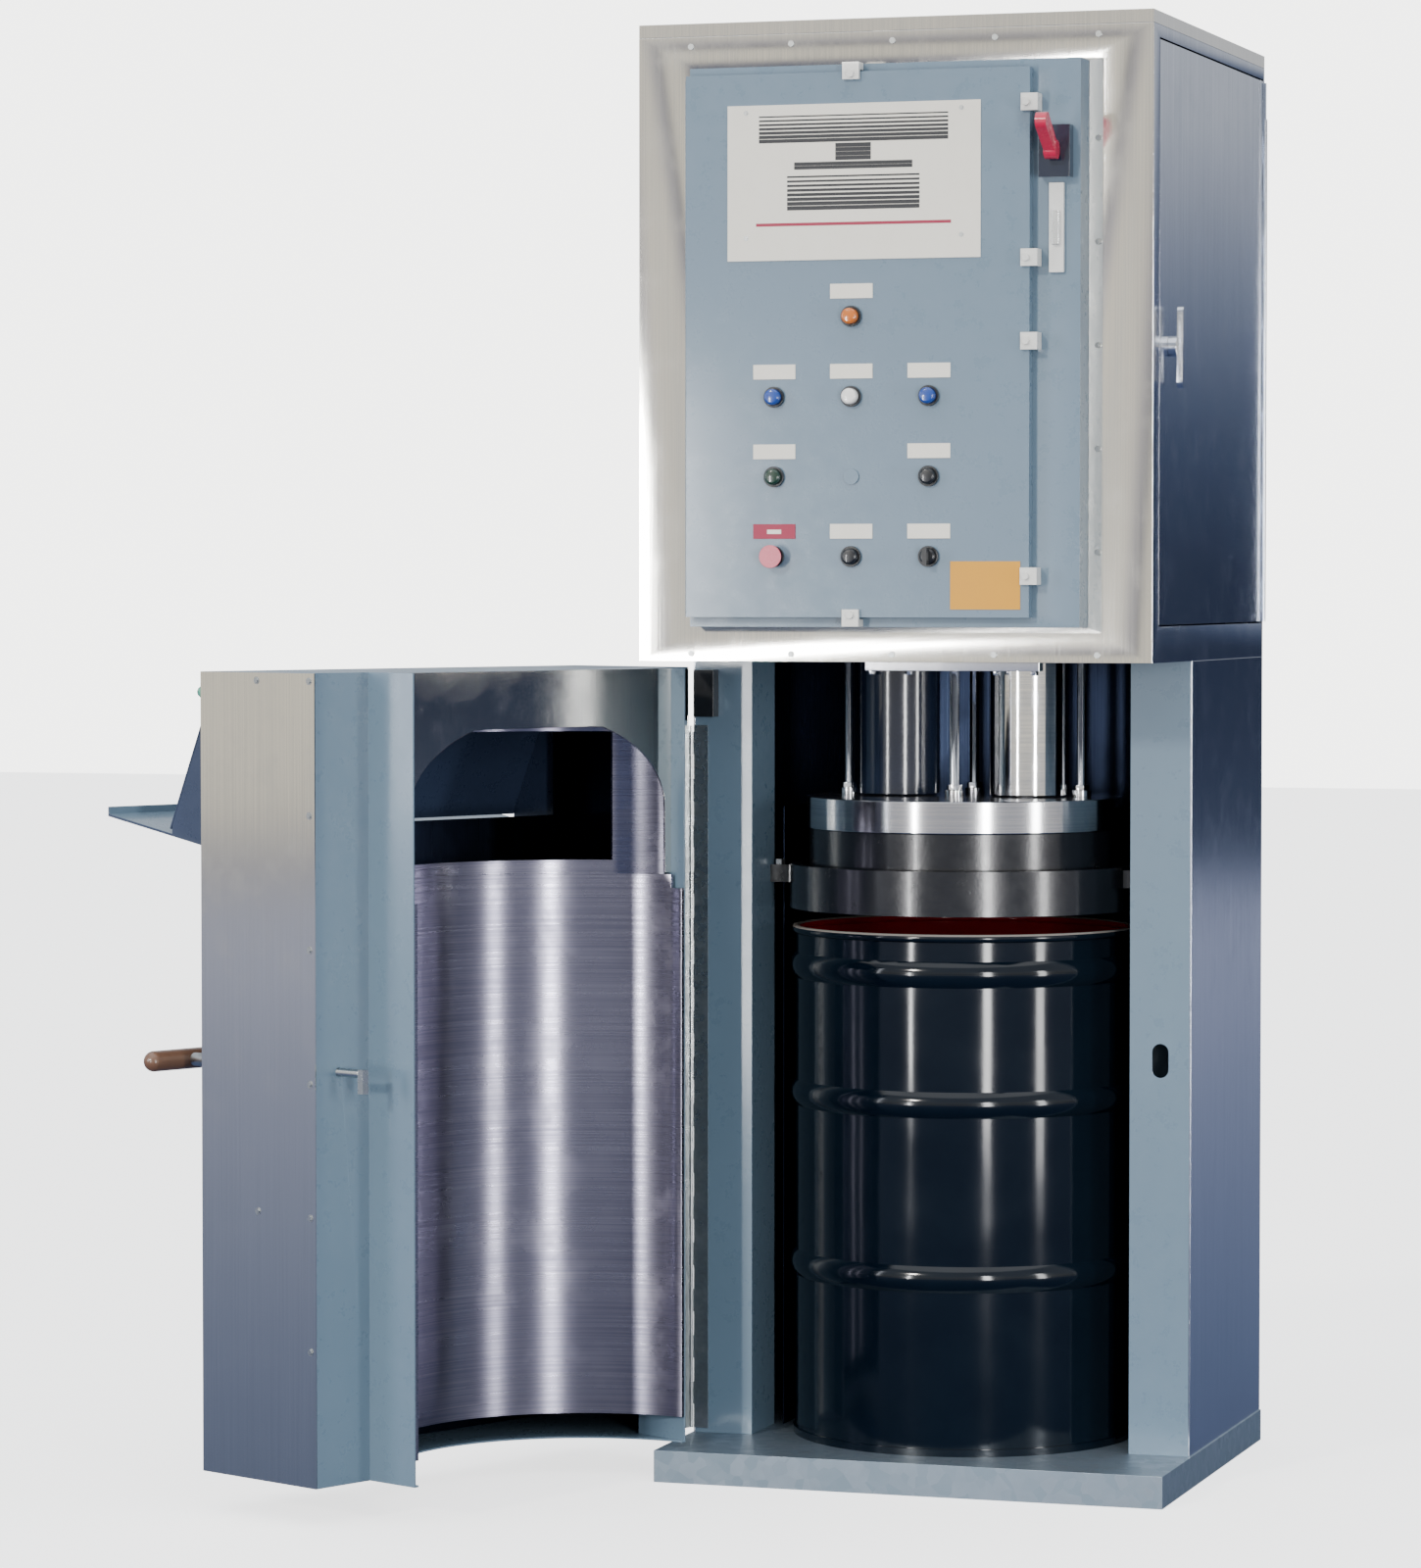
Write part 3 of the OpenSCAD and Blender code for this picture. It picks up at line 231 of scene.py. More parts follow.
blue_grey = enamel("blue_grey_enamel", "#607687", "#677D8F", 0.30, coat=0.45)
black_enamel = enamel("black_enamel", "#0B0D12", "#14171D", 0.22, coat=0.4)
grey_enamel = enamel("dark_grey_enamel", "#3C434C", "#4A515B", 0.42)
slate_enamel = enamel("slate_enamel", "#2C3850", "#35425B", 0.30)
# Navy enamel on the isolator plate; the same navy is painted shade on the left barrel and rod.
navy_paint_and_painted_shade = enamel("navy_paint_and_painted_shade", "#141C2C", "#1B2538", 0.16, coat=0.6)
orange_enamel = enamel("orange_enamel", "#C8641E", "#D27430", 0.38)
motor_enamel = enamel("motor_blue_enamel", "#2B4F73", "#34597F", 0.35)
red_enamel = enamel("red_enamel", "#B3173B", "#C22349", 0.26, coat=0.5)
white_enamel = enamel("white_enamel", "#E2E2DE", "#D3D4D0", 0.30)
print("enamels made")

# %% [markdown]
# ## Drum paint
# A new drum is sprayed gloss blue-black outside and dark red inside. The two colours live in one
# material: the distance from the drum's own axis says which side of the thin wall a point is on.
# Thin sheet is never quite round, so a broad, shallow bump makes the highlights waver.

# %% Drum paint
drum_axis = middle("drum")
wall_radius = (high("drum").x - low("drum").x) / 2 - 0.0095
floor_top = low("drum").z + 0.0135
drum_paint, tree, shader, place = start_material("drum_paint", IOR=1.42, Coat_Weight=0.05, Coat_Roughness=0.05)
centred = add(tree, "ShaderNodeMapping", {"Vector": place}, {"Location": (-drum_axis.x, -drum_axis.y, 0.0)})
split = add(tree, "ShaderNodeSeparateXYZ", {"Vector": centred.outputs[0]})
square_x = add(tree, "ShaderNodeMath", {0: split.outputs[0], 1: split.outputs[0]}, operation="MULTIPLY")
radius = add(tree, "ShaderNodeMath", {0: split.outputs[1], 1: split.outputs[1], 2: square_x.outputs[0]},
             operation="MULTIPLY_ADD")
inside = add(tree, "ShaderNodeMath", {0: radius.outputs[0]}, {1: wall_radius ** 2}, operation="LESS_THAN")
above = add(tree, "ShaderNodeMath", {0: split.outputs[2]}, {1: floor_top}, operation="GREATER_THAN")
red_side = add(tree, "ShaderNodeMath", {0: inside.outputs[0], 1: above.outputs[0]}, operation="MULTIPLY")
grime = add(tree, "ShaderNodeTexNoise", {"Vector": place}, {"Scale": 9.0, "Detail": 7.0, "Roughness": 0.65})
outer = add(tree, "ShaderNodeMix", {"Factor": grime.outputs[0]}, data_type="RGBA")
outer.inputs[6].default_value = linear("#010610")
outer.inputs[7].default_value = linear("#06121C")
inner = add(tree, "ShaderNodeMix", {"Factor": grime.outputs[0]}, data_type="RGBA")
inner.inputs[6].default_value = linear("#7E121C")
inner.inputs[7].default_value = linear("#A81C26")
coats = add(tree, "ShaderNodeMix", {"Factor": red_side.outputs[0]}, data_type="RGBA")
tree.links.new(outer.outputs[2], coats.inputs[6])
tree.links.new(inner.outputs[2], coats.inputs[7])
# The top 3 mm are light grey: worn bare steel on the rolled rim, and a painted highlight where the curl catches the
# light.
rim = add(tree, "ShaderNodeMath", {0: split.outputs[2]}, {1: high("drum").z - 0.003}, operation="GREATER_THAN")
worn_rim_and_highlight = add(tree, "ShaderNodeMix", {"Factor": rim.outputs[0], 6: coats.outputs[2]}, data_type="RGBA")
worn_rim_and_highlight.inputs[7].default_value = linear("#8C8680")
tree.links.new(worn_rim_and_highlight.outputs[2], shader.inputs["Base Color"])
gloss = add(tree, "ShaderNodeMapRange", {"Value": grime.outputs[0]}, {"To Min": 0.05, "To Max": 0.18})
tree.links.new(gloss.outputs[0], shader.inputs["Roughness"])
waver = add(tree, "ShaderNodeTexNoise", {"Vector": place}, {"Scale": 5.0, "Detail": 1.0})
bump = add(tree, "ShaderNodeBump", {"Height": waver.outputs[0]}, {"Strength": 0.4, "Distance": 0.003})
tree.links.new(bump.outputs[0], shader.inputs["Normal"])
print("drum radius", round(wall_radius, 4))

# %% [markdown]
# ## Galvanised base, plastics and labels
# The base is hot-dip galvanised, which leaves crystals, called spangle, 10 to 30 mm across: a
# Voronoi pattern gives each crystal its own grey. Buttons and clamps are moulded plastic with a
# fine spark-eroded grain. The legend plates are laminate with a satin face.


# %% Galvanised steel
def galvanised(name, light, dark):
    """Zinc with spangle: each crystal has its own shade and roughness."""
    material, tree, shader, place = start_material(name, Metallic=0.85)
    wobble = add(tree, "ShaderNodeTexNoise", {"Vector": place}, {"Scale": 30.0, "Detail": 2.0})
    cells = add(tree, "ShaderNodeTexVoronoi", {"Vector": place}, {"Scale": 48.0})
    grey = add(tree, "ShaderNodeSeparateColor", {"Color": cells.outputs["Color"]})
    both = add(tree, "ShaderNodeMath", {0: grey.outputs[0], 1: wobble.outputs[0]}, operation="MULTIPLY")
    mix = add(tree, "ShaderNodeMix", {"Factor": both.outputs[0]}, data_type="RGBA")
    mix.inputs[6].default_value = linear(dark)
    mix.inputs[7].default_value = linear(light)
    tree.links.new(mix.outputs[2], shader.inputs["Base Color"])
    rough = add(tree, "ShaderNodeMapRange", {"Value": both.outputs[0]}, {"To Min": 0.50, "To Max": 0.30})
    tree.links.new(rough.outputs[0], shader.inputs["Roughness"])
    bump = add(tree, "ShaderNodeBump", {"Height": wobble.outputs[0]}, {"Strength": 0.25, "Distance": 0.0008})
    tree.links.new(bump.outputs[0], shader.inputs["Normal"])
    return material


def plastic(name, colour, roughness=0.35, grain=900.0, coat=0.0, worn=None):
    """Moulded plastic: fine grain, a little uneven in colour and gloss."""
    material, tree, shader, place = start_material(name, IOR=1.49, Coat_Weight=coat, Coat_Roughness=0.06)
    speck = add(tree, "ShaderNodeTexNoise", {"Vector": place}, {"Scale": grain, "Detail": 2.0})
    cloud = add(tree, "ShaderNodeTexNoise", {"Vector": place}, {"Scale": 22.0, "Detail": 6.0, "Roughness": 0.7})
    mix = add(tree, "ShaderNodeMix", {"Factor": cloud.outputs[0]}, data_type="RGBA")
    mix.inputs[6].default_value = linear(colour)
    mix.inputs[7].default_value = linear(worn or colour)
    tree.links.new(mix.outputs[2], shader.inputs["Base Color"])
    rough = add(tree, "ShaderNodeMapRange", {"Value": cloud.outputs[0]},
                {"To Min": roughness * 0.75, "To Max": roughness * 1.3})
    tree.links.new(rough.outputs[0], shader.inputs["Roughness"])
    bump = add(tree, "ShaderNodeBump", {"Height": speck.outputs[0]}, {"Strength": 0.2, "Distance": 0.0002})
    tree.links.new(bump.outputs[0], shader.inputs["Normal"])
    return material


zinc = galvanised("galvanised_zinc", "#A9B6C2", "#8394A2")
black_plastic = plastic("black_phenolic", "#0C0E12", 0.30, coat=0.3, worn="#1A1D22")
white_plastic = plastic("white_nylon", "#ECEBE6", 0.30, worn="#DEDDD6")
laminate = plastic("ivory_laminate", "#E9E6DC", 0.42, worn="#E0DCD0")
crimson = plastic("crimson_laminate", "#8E0F36", 0.40, worn="#9A1840")
yellow = plastic("yellow_vinyl", "#D08E00", 0.36, worn="#D49604")
ink = plastic("black_ink", "#16181C", 0.45, worn="#202328")
amber = plastic("amber_lens", "#B85A12", 0.18, 300.0, 0.8, "#D27A2A")
blue = plastic("blue_acetal", "#173C8C", 0.22, 300.0, 0.6, "#23499C")
white_cap = plastic("white_acetal", "#F0EFEC", 0.22, 300.0, 0.6, "#E4E3DE")
green = plastic("green_acetal", "#0E2A1C", 0.22, 300.0, 0.6, "#173828")
rose = plastic("red_acetal", "#C24A5C", 0.26, 300.0, 0.5, "#D0677A")
lamp_green = plastic("green_lens", "#4FA68A", 0.16, 300.0, 0.8, "#66B89C")
grip_brown = plastic("brown_bakelite", "#5E4334", 0.32, 500.0, 0.4, "#7A5A46")
rubber = plastic("black_rubber", "#101113", 0.65, 700.0, 0.0, "#1B1C1E")
bronze = stainless("bearing_bronze", "#B08A52", "#8E6C3C", 0.30, (40.0, 40.0, 300.0), 0.0002)
print("materials", len(bpy.data.materials))

# %% [markdown]
# ## Dressing the CAD plates
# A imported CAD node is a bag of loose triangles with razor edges. A copy of it is welded into one
# skin, its flat areas are joined into whole faces, its edges get a small rounding that catches
# the light, and curved faces are shaded smooth. The copy then stands for the node. A folded
# sheet edge is rounded by about half a millimetre and a machined one by about one.


# %% Dressing helper
CREASE = 20.0   # degrees between two faces above which the edge between them stays crisp


def clean_mesh(node):
    """A welded copy of a CAD node's mesh with its flat areas joined into whole faces."""
    mesh = frame["nodes"][node].data.copy()
    mesh.name = node + "_dressed"
    mesh.materials.clear()
    work = bmesh.new()
    work.from_mesh(mesh)
    bmesh.ops.remove_doubles(work, verts=work.verts, dist=1e-5)
    bmesh.ops.dissolve_limit(work, angle_limit=math.radians(0.6), verts=work.verts, edges=work.edges)
    work.to_mesh(mesh)
    work.free()
    return mesh


def make_piece(name, mesh, body, *materials, rounding=0.0, stands_for=()):
    """Puts a mesh in the scene as one finished piece that rides on a body."""
    piece = bpy.data.objects.new(name, mesh)
    bpy.context.scene.collection.objects.link(piece)
    for material in materials:
        mesh.materials.append(material)
    if rounding:
        bevel = piece.modifiers.new("rounding", "BEVEL")
        bevel.width = rounding
        bevel.segments = 2
        bevel.limit_method = "ANGLE"
        bevel.angle_limit = math.radians(35)
        depsgraph = bpy.context.evaluated_depsgraph_get()
        piece.data = bpy.data.meshes.new_from_object(piece.evaluated_get(depsgraph))
        piece.modifiers.clear()
        piece.data.name = name
    piece.data.shade_smooth()
    piece.data.set_sharp_from_angle(angle=math.radians(CREASE))
    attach(piece, body)
    if stands_for:
        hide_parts(*stands_for)
    return piece


def dress(node, *materials, rounding=0.0006, pick=None):
    """Stands a rounded copy in for a CAD node. pick gives a face's material number from its centre."""
    mesh = clean_mesh(node)
    if pick:
        for face in mesh.polygons:
            face.material_index = pick(face)
    return make_piece("dressed_" + node, mesh, BODY_OF[node], *materials, rounding=rounding, stands_for=(node,))


# %% Sheet metal and frame
for node in ("head_front_panel", "head_cap", "arch_panel"):
    dress(node, polished)
# Painted shade: the skin's inner faces, the side panels' inner faces and the rear panel's chamber face take the dark
# steel.
skin_middle = middle("door_skin")
dress("door_skin", polished, shade_painted_steel, pick=lambda f: int((f.center - skin_middle).dot(f.normal) < 0))
for node in ("head_left_panel", "head_right_panel", "side_door"):
    dress(node, side_sheet)
dress("lower_side_panels", side_sheet, shade_painted_steel, pick=lambda f: int(f.normal.x * f.center.x < 0))
dress("rear_panel", side_sheet, shade_painted_steel, pick=lambda f: int(f.normal.y < -0.5))
for node in ("door_liner", "window_liner"):
    dress(node, liner_sheet, rounding=0.0004)
# Painted shade: the whole chamber liner takes the dark steel.
dress("chamber_liner", shade_painted_steel, rounding=0.0004)
for node in ("left_post", "right_post", "door_frame", "control_box", "control_door"):
    dress(node, blue_grey)
for node in ("press_deck", "head_frame", "reservoir", "valve_manifold", "pump"):
    dress(node, grey_enamel, rounding=0.001)
dress("loading_lid", slate_enamel)
dress("base", zinc, rounding=0.0015)
dress("cylinder_bracket", turned_steel, rounding=0.001)
print("plates dressed")

# %% [markdown]
# The loading tray is one welded piece in two paints: the tray itself matches the door, and its
# cheeks match the slate lid. A cheek is the part that stands at the very end of the tray, so a
# face's distance along the door says which paint it has.

# %% Loading tray
tray_middle = middle("loading_lid")
cheek_from = max(abs((Vector(v.co) - tray_middle).dot(ACROSS)) for v in frame["nodes"]["loading_tray"].data.vertices) - 0.004
tray_top = low("loading_tray").z + 0.066
dress("loading_tray", blue_grey, slate_enamel,
      pick=lambda f: int(abs((f.center - tray_middle).dot(ACROSS)) > cheek_from and f.center.z > tray_top))
print("cheeks start", round(cheek_from, 3), "m from the middle")

# %% Ram, drum and mechanism
dress("ring_plate", turned_steel, rounding=0.0015)
dress("platen", black_enamel, rounding=0.0015)
dress("guide_collar", black_enamel, rounding=0.0015)
# Painted shade: the left barrel and the left piston rod take dark navy in place of the dark reflection on that side;
# the right ones stay bright steel.
dress("cylinder_barrels", ground_rod, navy_paint_and_painted_shade, pick=lambda f: int(f.center.x < 0))
dress("piston_rods", ground_rod, navy_paint_and_painted_shade, pick=lambda f: int(f.center.x < 0))
dress("guide_rods", ground_rod)
dress("drum", drum_paint, rounding=0.0)
dress("motor", motor_enamel, rounding=0.001)
dress("guide_bushes", bronze)
dress("component_panel", orange_enamel, rounding=0.001)
for node in ("post_hinge_leaf", "door_hinge_leaf", "panel_screws", "latch_spindle", "hydraulic_pipes"):
    dress(node, plated, rounding=0.0)
dress("side_door_handle", ground_rod, rounding=0.0008)
print("mechanism dressed")

# %% [markdown]
# ## Controls
# The bezels are black phenolic, but the spare hole between the two rows is closed by a plug in
# the door's own paint. Ivory legend plates name each control, the stop button's is crimson, and
# a yellow notice sits in the corner. Where a face lies on the door tells which of these it is.

# %% Controls and small parts
spare = (middle("white_button").x, (middle("green_button").z + middle("black_button_high").z) / 2)
dress("button_bezels", black_plastic, blue_grey, rounding=0.0008,
      pick=lambda f: int(math.hypot(f.center.x - spare[0], f.center.z - spare[1]) < 0.02))
for node in ("interlock_switch", "supply_gland", "black_button_high", "black_button_low", "selector"):
    dress(node, black_plastic, rounding=0.0008)
for node, material in (("blue_button_left", blue), ("blue_button_right", blue), ("white_button", white_cap),
                       ("green_button", green), ("stop_button", rose), ("pilot_light", amber),
                       ("door_lamp", lamp_green), ("handle_grip", grip_brown), ("isolator_handle", red_enamel),
                       ("door_clamps", white_enamel)):
    dress(node, material, rounding=0.0012)
strip_top = low("isolator_base").z + 0.15
dress("isolator_base", navy_paint_and_painted_shade, white_enamel, plated, rounding=0.0008,
      pick=lambda f: 0 if f.center.z > strip_top else (1 if f.center.y > low("isolator_base").y + 0.0085 else 2))


def legend_paint(face):
    """Ivory 0, crimson 1 for the stop plate, yellow 2 for the notice."""
    stop = middle("stop_button")
    if face.center.z < stop.z + 0.02:
        return 2
    return int(abs(face.center.x - stop.x) < 0.05 and face.center.z < stop.z + 0.06)


dress("legend_plates", laminate, crimson, yellow, rounding=0.0003, pick=legend_paint)
print("controls dressed")


# %% [markdown]
# ## Marks on the plates
# The big plate carries a plain pictogram, a ram over a drum, above a red rule. The stop plate has
# an ivory bar. Ink has no thickness worth the name, but each mark is a closed sliver 0.3 mm
# thick so that it never flickers against the plate below it.

# %% Marks
def blocks(name, body, material, boxes):
    """Closed boxes, each given by its low and high corner, as one piece."""
    work = bmesh.new()
    for near, far in boxes:
        cube = bmesh.ops.create_cube(work, size=1.0)["verts"]
        size = Vector(far) - Vector(near)
        bmesh.ops.scale(work, vec=size, verts=cube)
        bmesh.ops.translate(work, vec=(Vector(near) + Vector(far)) / 2, verts=cube)
    mesh = bpy.data.meshes.new(name)
    work.to_mesh(mesh)
    work.free()
    return make_piece(name, mesh, body, material)


plate_low, plate_high = low("legend_plates"), high("legend_plates")
face_y = plate_low.y
centre_x = middle("white_button").x + 0.003


def mark(x0, z0, x1, z1, depth=0.0003):
    """A printed bar on the big plate, measured from its centre line and its top edge."""
    return ((centre_x + x0, face_y - depth, plate_high.z - z1), (centre_x + x1, face_y + 0.0002, plate_high.z - z0))


def striped(half_top, half_foot, top, foot, rows, ink_share):
    """Rows of bars that taper from one half width to another; the share of ink grows downwards."""
    pitch = (foot - top) / rows
    bars = []
    for row in range(rows):
        share = row / (rows - 1)
        half = half_top + (half_foot - half_top) * share
        thick = pitch * (ink_share[0] + (ink_share[1] - ink_share[0]) * share)
        bars.append(mark(-half, top + pitch * row, half, top + pitch * row + thick))
    return bars


pictogram = striped(0.160, 0.160, 0.018, 0.062, 7, (0.35, 0.95))          # the press head
pictogram += striped(0.030, 0.030, 0.064, 0.092, 4, (0.95, 0.95))         # its ram
pictogram += striped(0.100, 0.100, 0.094, 0.106, 2, (0.95, 0.95))         # the platen
pictogram += striped(0.112, 0.112, 0.116, 0.172, 8, (0.40, 0.95))         # the drum
blocks("press_pictogram", "control_door", ink, pictogram)
blocks("red_rule", "control_door", crimson, [mark(-0.165, 0.192, 0.165, 0.197)])
stop = middle("stop_button")
blocks("stop_bar", "control_door", laminate,
       [((stop.x - 0.012, low("legend_plates").y + 0.0002, stop.z + 0.037), (stop.x + 0.012, plate_low.y + 0.0012, stop.z + 0.044))])
print("marks printed")

# %% [markdown]
# ## Screw rows
# The sheets are held by small hex-headed screws on washers, in straight rows. Placing each one by
# hand would be slow and hard to change, so a Geometry Nodes tree makes a row from where it starts,
# the step to the next screw, how many there are and which way they face. Every head is turned by
# its own chance amount, as a spanner leaves it; the seed is fixed, so the turns never change.
# One modifier adds one row, and the modifiers of a body pile their rows into a single mesh.

# %% Screw row tree
ROW_INPUTS = (("Start", "NodeSocketVector"), ("Step", "NodeSocketVector"), ("Count", "NodeSocketInt"),
              ("Facing", "NodeSocketVector"), ("Head Radius", "NodeSocketFloat"),
              ("Head Height", "NodeSocketFloat"), ("Seed", "NodeSocketInt"), ("Finish", "NodeSocketMaterial"))
screw_rows = bpy.data.node_groups.new("screw_rows", "GeometryNodeTree")
screw_rows.interface.new_socket("Geometry", in_out="INPUT", socket_type="NodeSocketGeometry")
ROW_SOCKET = {label: screw_rows.interface.new_socket(label, in_out="INPUT", socket_type=kind).identifier
              for label, kind in ROW_INPUTS}
screw_rows.interface.new_socket("Geometry", in_out="OUTPUT", socket_type="NodeSocketGeometry")
given = add(screw_rows, "NodeGroupInput").outputs
line = add(screw_rows, "GeometryNodeMeshLine",
           {"Count": given["Count"], "Start Location": given["Start"], "Offset": given["Step"]}, mode="OFFSET")
hexagon = add(screw_rows, "GeometryNodeMeshCylinder", {"Radius": given["Head Radius"], "Depth": given["Head Height"]},
              {"Vertices": 6})
wide = add(screw_rows, "ShaderNodeMath", {0: given["Head Radius"]}, {1: 1.45}, operation="MULTIPLY")
thin = add(screw_rows, "ShaderNodeMath", {0: given["Head Height"]}, {1: 0.35}, operation="MULTIPLY")
washer = add(screw_rows, "GeometryNodeMeshCylinder", {"Radius": wide.outputs[0], "Depth": thin.outputs[0]},
             {"Vertices": 20})
screw = add(screw_rows, "GeometryNodeJoinGeometry")
screw_rows.links.new(hexagon.outputs["Mesh"], screw.inputs[0])
screw_rows.links.new(washer.outputs["Mesh"], screw.inputs[0])
chance = add(screw_rows, "FunctionNodeRandomValue", {"Seed": given["Seed"]}, data_type="FLOAT")
spun = add(screw_rows, "ShaderNodeCombineXYZ", {"Z": chance.outputs[1]})
facing_out = add(screw_rows, "FunctionNodeEulerToRotation", {"Euler": given["Facing"]})
own_turn = add(screw_rows, "FunctionNodeEulerToRotation", {"Euler": spun.outputs[0]})
turned_head = add(screw_rows, "FunctionNodeRotateRotation",
                  {"Rotation": facing_out.outputs[0], "Rotate By": own_turn.outputs[0]}, rotation_space="LOCAL")
placed = add(screw_rows, "GeometryNodeInstanceOnPoints",
             {"Points": line.outputs["Mesh"], "Instance": screw.outputs[0], "Rotation": turned_head.outputs[0]})
solid_row = add(screw_rows, "GeometryNodeRealizeInstances", {"Geometry": placed.outputs[0]})
painted = add(screw_rows, "GeometryNodeSetMaterial", {"Geometry": solid_row.outputs[0], "Material": given["Finish"]})
piled = add(screw_rows, "GeometryNodeJoinGeometry")
screw_rows.links.new(painted.outputs[0], piled.inputs[0])
screw_rows.links.new(given["Geometry"], piled.inputs[0])
add(screw_rows, "NodeGroupOutput", {"Geometry": piled.outputs[0]})
print("row tree nodes", len(screw_rows.nodes))


# %% Screws on the door and the plate
def screws(name, body, rows, radius, height):
    """Rows of screws on one body. Each row is its start, its step, its count and its outward side."""
    holder = bpy.data.objects.new(name + "_rows", bpy.data.meshes.new(name + "_rows"))
    bpy.context.scene.collection.objects.link(holder)
    for seed, (start, step, count, outward) in enumerate(rows):
        modifier = holder.modifiers.new("row", "NODES")
        modifier.node_group = screw_rows
        facing = Vector(outward).to_track_quat("Z", "Y").to_euler()
        for label, value in (("Start", tuple(start)), ("Step", tuple(step)), ("Count", count),
                             ("Facing", tuple(facing)), ("Head Radius", radius), ("Head Height", height),
                             ("Seed", seed), ("Finish", plated)):
            modifier[ROW_SOCKET[label]] = value
    depsgraph = bpy.context.evaluated_depsgraph_get()
    mesh = bpy.data.meshes.new_from_object(holder.evaluated_get(depsgraph))
    mesh.name = name
    holder.modifiers.clear()
    bpy.data.objects.remove(holder)
    print(name, "triangles", sum(len(face.vertices) - 2 for face in mesh.polygons))
    return make_piece(name, mesh, body)


skin_points = [Vector(v.co) - HINGE for v in frame["nodes"]["door_skin"].data.vertices]
end_face = max(point.dot(ACROSS) for point in skin_points)
end_depths = [point.dot(OUT) for point in skin_points if point.dot(ACROSS) > end_face - 0.002]
near_fold = min(end_depths) + 0.012
mid_end = (min(end_depths) + max(end_depths)) / 2
skin_top = high("door_skin").z


def on_end(depth, height):
    """A place on the door's end sheet: its depth out from the hinge line and its height."""
    place = HINGE + ACROSS * end_face + OUT * depth
    return (place.x, place.y, height)


screws("door_end_screws", "main_door",
       [(on_end(near_fold, skin_top - 0.013), (0, 0, -0.2155), 6, ACROSS),
        (on_end(mid_end, skin_top - 0.013), (0, 0, -0.86), 2, ACROSS)], 0.0042, 0.004)
screws("name_plate_screws", "control_door",
       [((centre_x - 0.182, face_y, plate_high.z - 0.012), (0.364, 0, 0), 2, (0, -1, 0)),
        ((centre_x - 0.182, face_y, plate_high.z - 0.216), (0.364, 0, 0), 2, (0, -1, 0))], 0.0028, 0.0024)

# %% [markdown]
# ## Floor and light
# The studio is plain: a pale floor, a lamp from the front, a broad one overhead, tall strip lamps
# to each side, and a room whose walls only reflections see. Polished steel shows nothing but its surroundings, so the room runs
# from bright above to slate blue at eye level, which gives the panels their long gradients.

# %% Floor
def stage_floor(name, half, near, far, reach, height, glow):
    """A square floor whose colour runs from near to far over a distance from the machine."""
    mesh = bpy.data.meshes.new(name)
    mesh.from_pydata([(-half, -half, height), (half, -half, height), (half, half, height), (-half, half, height)],
                     [], [(0, 1, 2, 3)])
    thing = bpy.data.objects.new(name, mesh)
    bpy.context.scene.collection.objects.link(thing)
    material, tree, shader, place = start_material(name + "_paint", Roughness=0.65)
    away = add(tree, "ShaderNodeVectorMath", {0: place}, operation="LENGTH")
    grain = add(tree, "ShaderNodeTexNoise", {"Vector": place}, {"Scale": 3.0, "Detail": 4.0})
    uneven = add(tree, "ShaderNodeMath", {0: grain.outputs[0], 2: away.outputs[1]}, {1: 0.3}, operation="MULTIPLY_ADD")
    ramp = add(tree, "ShaderNodeMapRange", {"Value": uneven.outputs[0]}, {"From Min": 0.8, "From Max": reach})
    mix = add(tree, "ShaderNodeMix", {"Factor": ramp.outputs[0]}, data_type="RGBA")
    mix.inputs[6].default_value = linear(near)
    mix.inputs[7].default_value = linear(far)
    tree.links.new(mix.outputs[2], shader.inputs["Base Color"])
    shader.inputs["Emission Color"].default_value = linear("#FFFFFF")
    shader.inputs["Emission Strength"].default_value = glow
    mesh.materials.append(material)
    return thing


pale_floor = stage_floor("pale_floor", 30.0, "#E9E9E8", "#F4F4F2", 12.0, 0.0, 1.9)
pale_floor.visible_glossy = False
pale_floor.visible_diffuse = False
mirrored_floor = stage_floor("mirrored_floor", 18.0, "#33476E", "#8E93AC", 14.0, -0.0005, 0.0)
mirrored_floor.visible_camera = False
mirrored_floor.visible_diffuse = False
mirrored_floor.visible_shadow = False


# %% Lights
def softbox(name, place, aim, width, height, power, colour):
    """A rectangular area light that looks at a point."""
    data = bpy.data.lights.new(name, "AREA")
    data.shape = "RECTANGLE"
    data.size, data.size_y = width, height
    data.energy = power
    data.color = linear(colour)[:3]
    lamp = bpy.data.objects.new(name, data)
    lamp.location = place
    lamp.rotation_euler = (Vector(place) - Vector(aim)).to_track_quat("Z", "Y").to_euler()
    bpy.context.scene.collection.objects.link(lamp)


def sun(name, azimuth, height, angle, strength, colour):
    """A distant lamp: azimuth from the front towards the right, height above level, disc angle."""
    data = bpy.data.lights.new(name, "SUN")
    data.angle = math.radians(angle)
    data.energy = strength
    data.color = linear(colour)[:3]
    lamp = bpy.data.objects.new(name, data)
    side, up = math.radians(azimuth), math.radians(height)
    towards = Vector((math.sin(side) * math.cos(up), -math.cos(side) * math.cos(up), math.sin(up)))
    lamp.rotation_euler = towards.to_track_quat("Z", "Y").to_euler()
    bpy.context.scene.collection.objects.link(lamp)


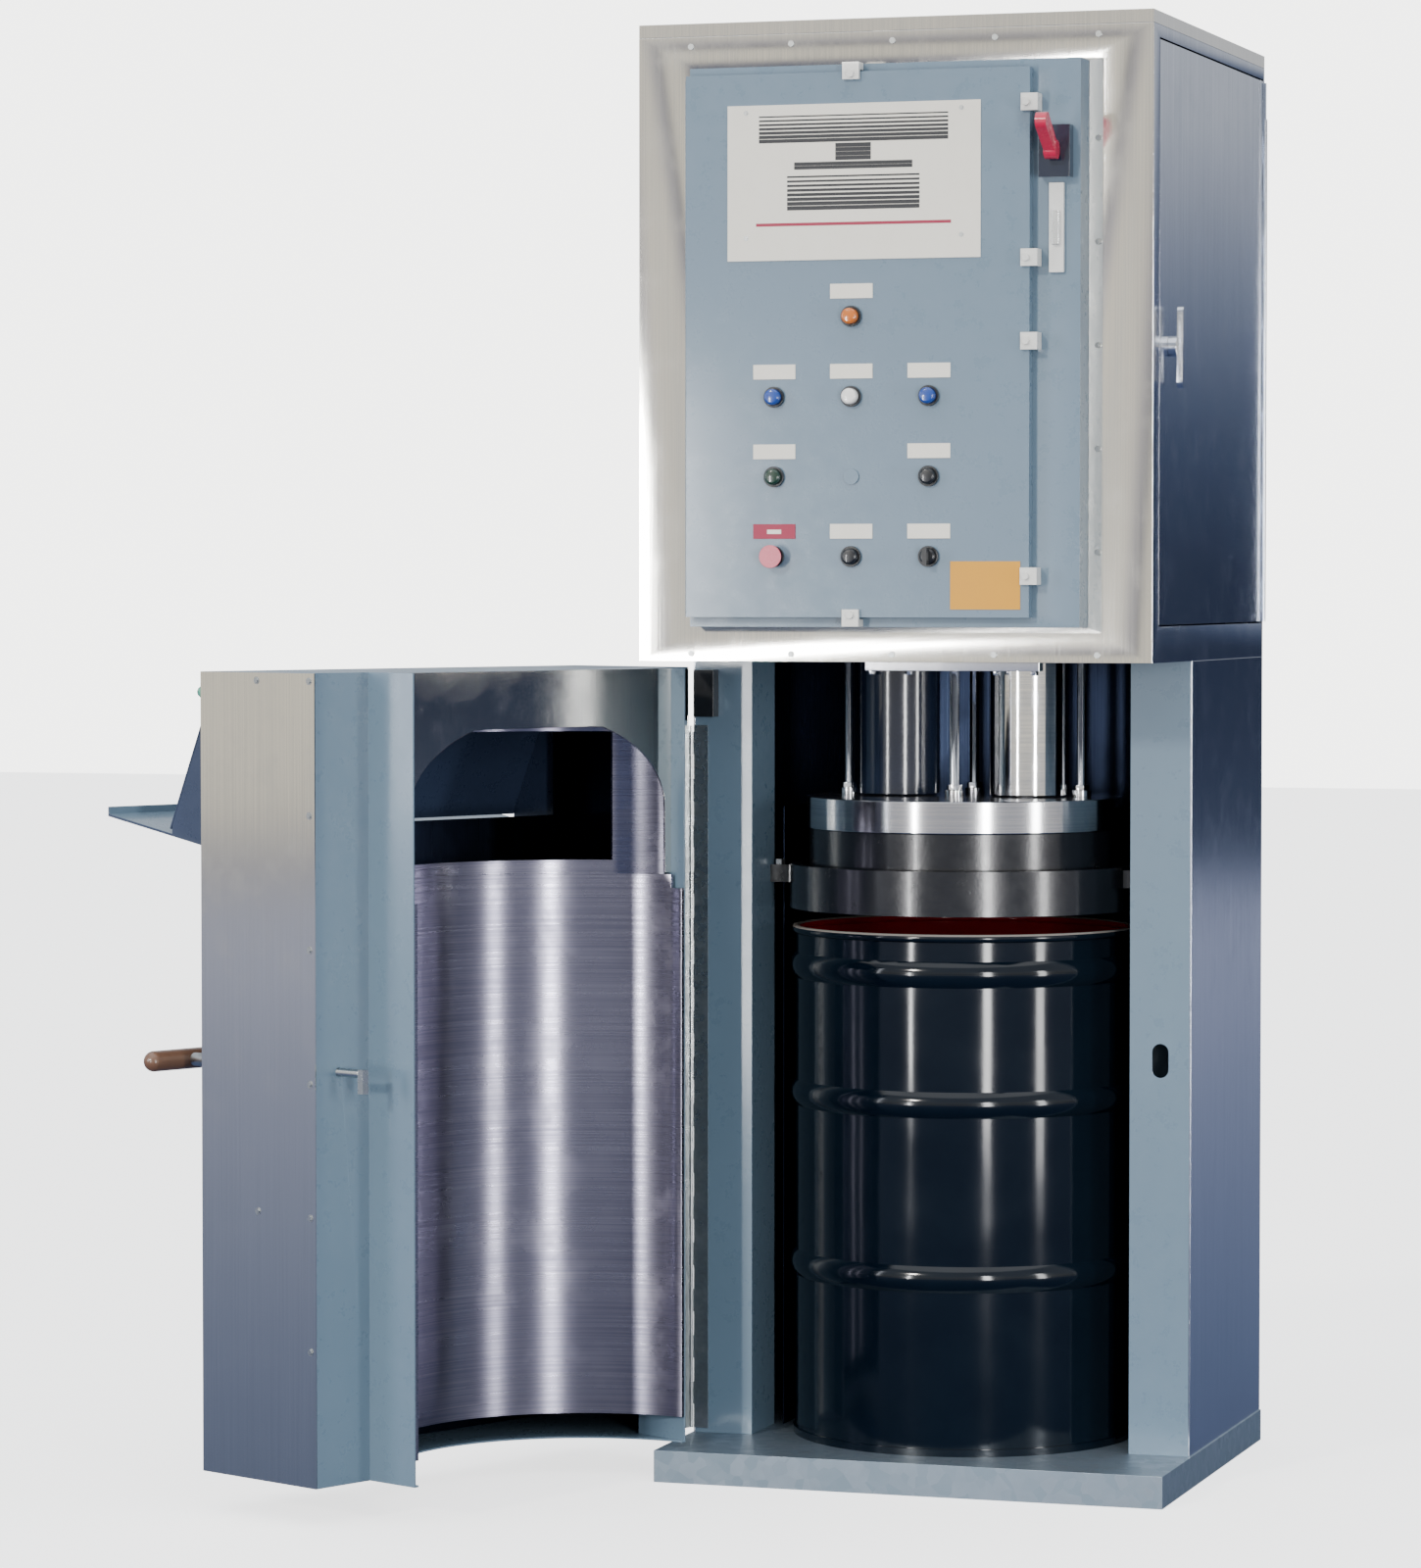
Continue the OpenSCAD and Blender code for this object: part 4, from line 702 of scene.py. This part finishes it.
sun("front_lamp", -20, 24, 5, 1.5, "#FFF8EE")
sun("overhead_lamp", 0, 82, 80, 1.6, "#FFFFFF")
softbox("left_strip", (-2.42, -6.5, 1.05), (-0.4, 0, 1.05), 0.16, 2.0, 90, "#FFFFFF")
softbox("left_softbox", (-5.5, -5.0, 2.4), (-0.3, 0, 1.2), 1.6, 3.2, 150, "#F2F6FF")
softbox("near_strip", (3.0, -5.1, 1.2), (-0.6, -0.4, 1.0), 0.5, 2.4, 150, "#FFFFFF")
softbox("far_strip", (5.0, -2.1, 1.2), (-0.6, -0.4, 1.0), 0.5, 2.4, 90, "#FFFFFF")

world = bpy.data.worlds.new("room")
bpy.context.scene.world = world
world.use_nodes = True
tree = world.node_tree
tree.nodes.clear()
direction = add(tree, "ShaderNodeTexCoord").outputs["Generated"]
split = add(tree, "ShaderNodeSeparateXYZ", {"Vector": direction})
LOWEST, SPAN = -0.1, 0.4
rise = add(tree, "ShaderNodeMapRange", {"Value": split.outputs[2]}, {"From Min": LOWEST, "From Max": LOWEST + SPAN})


def wall(stops):
    """A studio wall: colours up its height, each at the sine of its angle above level."""
    ramp = add(tree, "ShaderNodeValToRGB", {"Fac": rise.outputs[0]})
    elements = ramp.color_ramp.elements
    for number, (sine, colour) in enumerate(stops):
        place = (sine - LOWEST) / SPAN
        element = elements[number] if number < 2 else elements.new(place)
        element.position = place
        element.color = linear(colour)
    return ramp.outputs[0]


front = wall([(-0.1, "#39465F"), (0.3, "#DCE2EA"), (-0.05, "#8C8FA3"), (-0.045, "#F4EFE2"), (0.026, "#F4EFE2"),
              (0.028, "#434C66"), (0.062, "#B9B8C4"), (0.09, "#F6F1E6")])
rear = wall([(-0.1, "#39465F"), (0.3, "#DCE2EA"), (0.0, "#232B40"), (0.03, "#3D4A66"), (0.06, "#8A93A8"),
             (0.09, "#D5D8DE")])
facing = add(tree, "ShaderNodeMapRange", {"Value": split.outputs[1]}, {"From Min": -0.1, "From Max": 0.3})
walls = add(tree, "ShaderNodeMix", {"Factor": facing.outputs[0], 6: front, 7: rear}, data_type="RGBA")
seen = add(tree, "ShaderNodeBackground", None, {"Color": linear("#F4F4F2"), "Strength": 5.0})
room = add(tree, "ShaderNodeBackground", {"Color": walls.outputs[2]}, {"Strength": 1.0})
ray = add(tree, "ShaderNodeLightPath")
choice = add(tree, "ShaderNodeMixShader", {0: ray.outputs["Is Camera Ray"], 1: room.outputs[0], 2: seen.outputs[0]})
add(tree, "ShaderNodeOutputWorld", {"Surface": choice.outputs[0]})
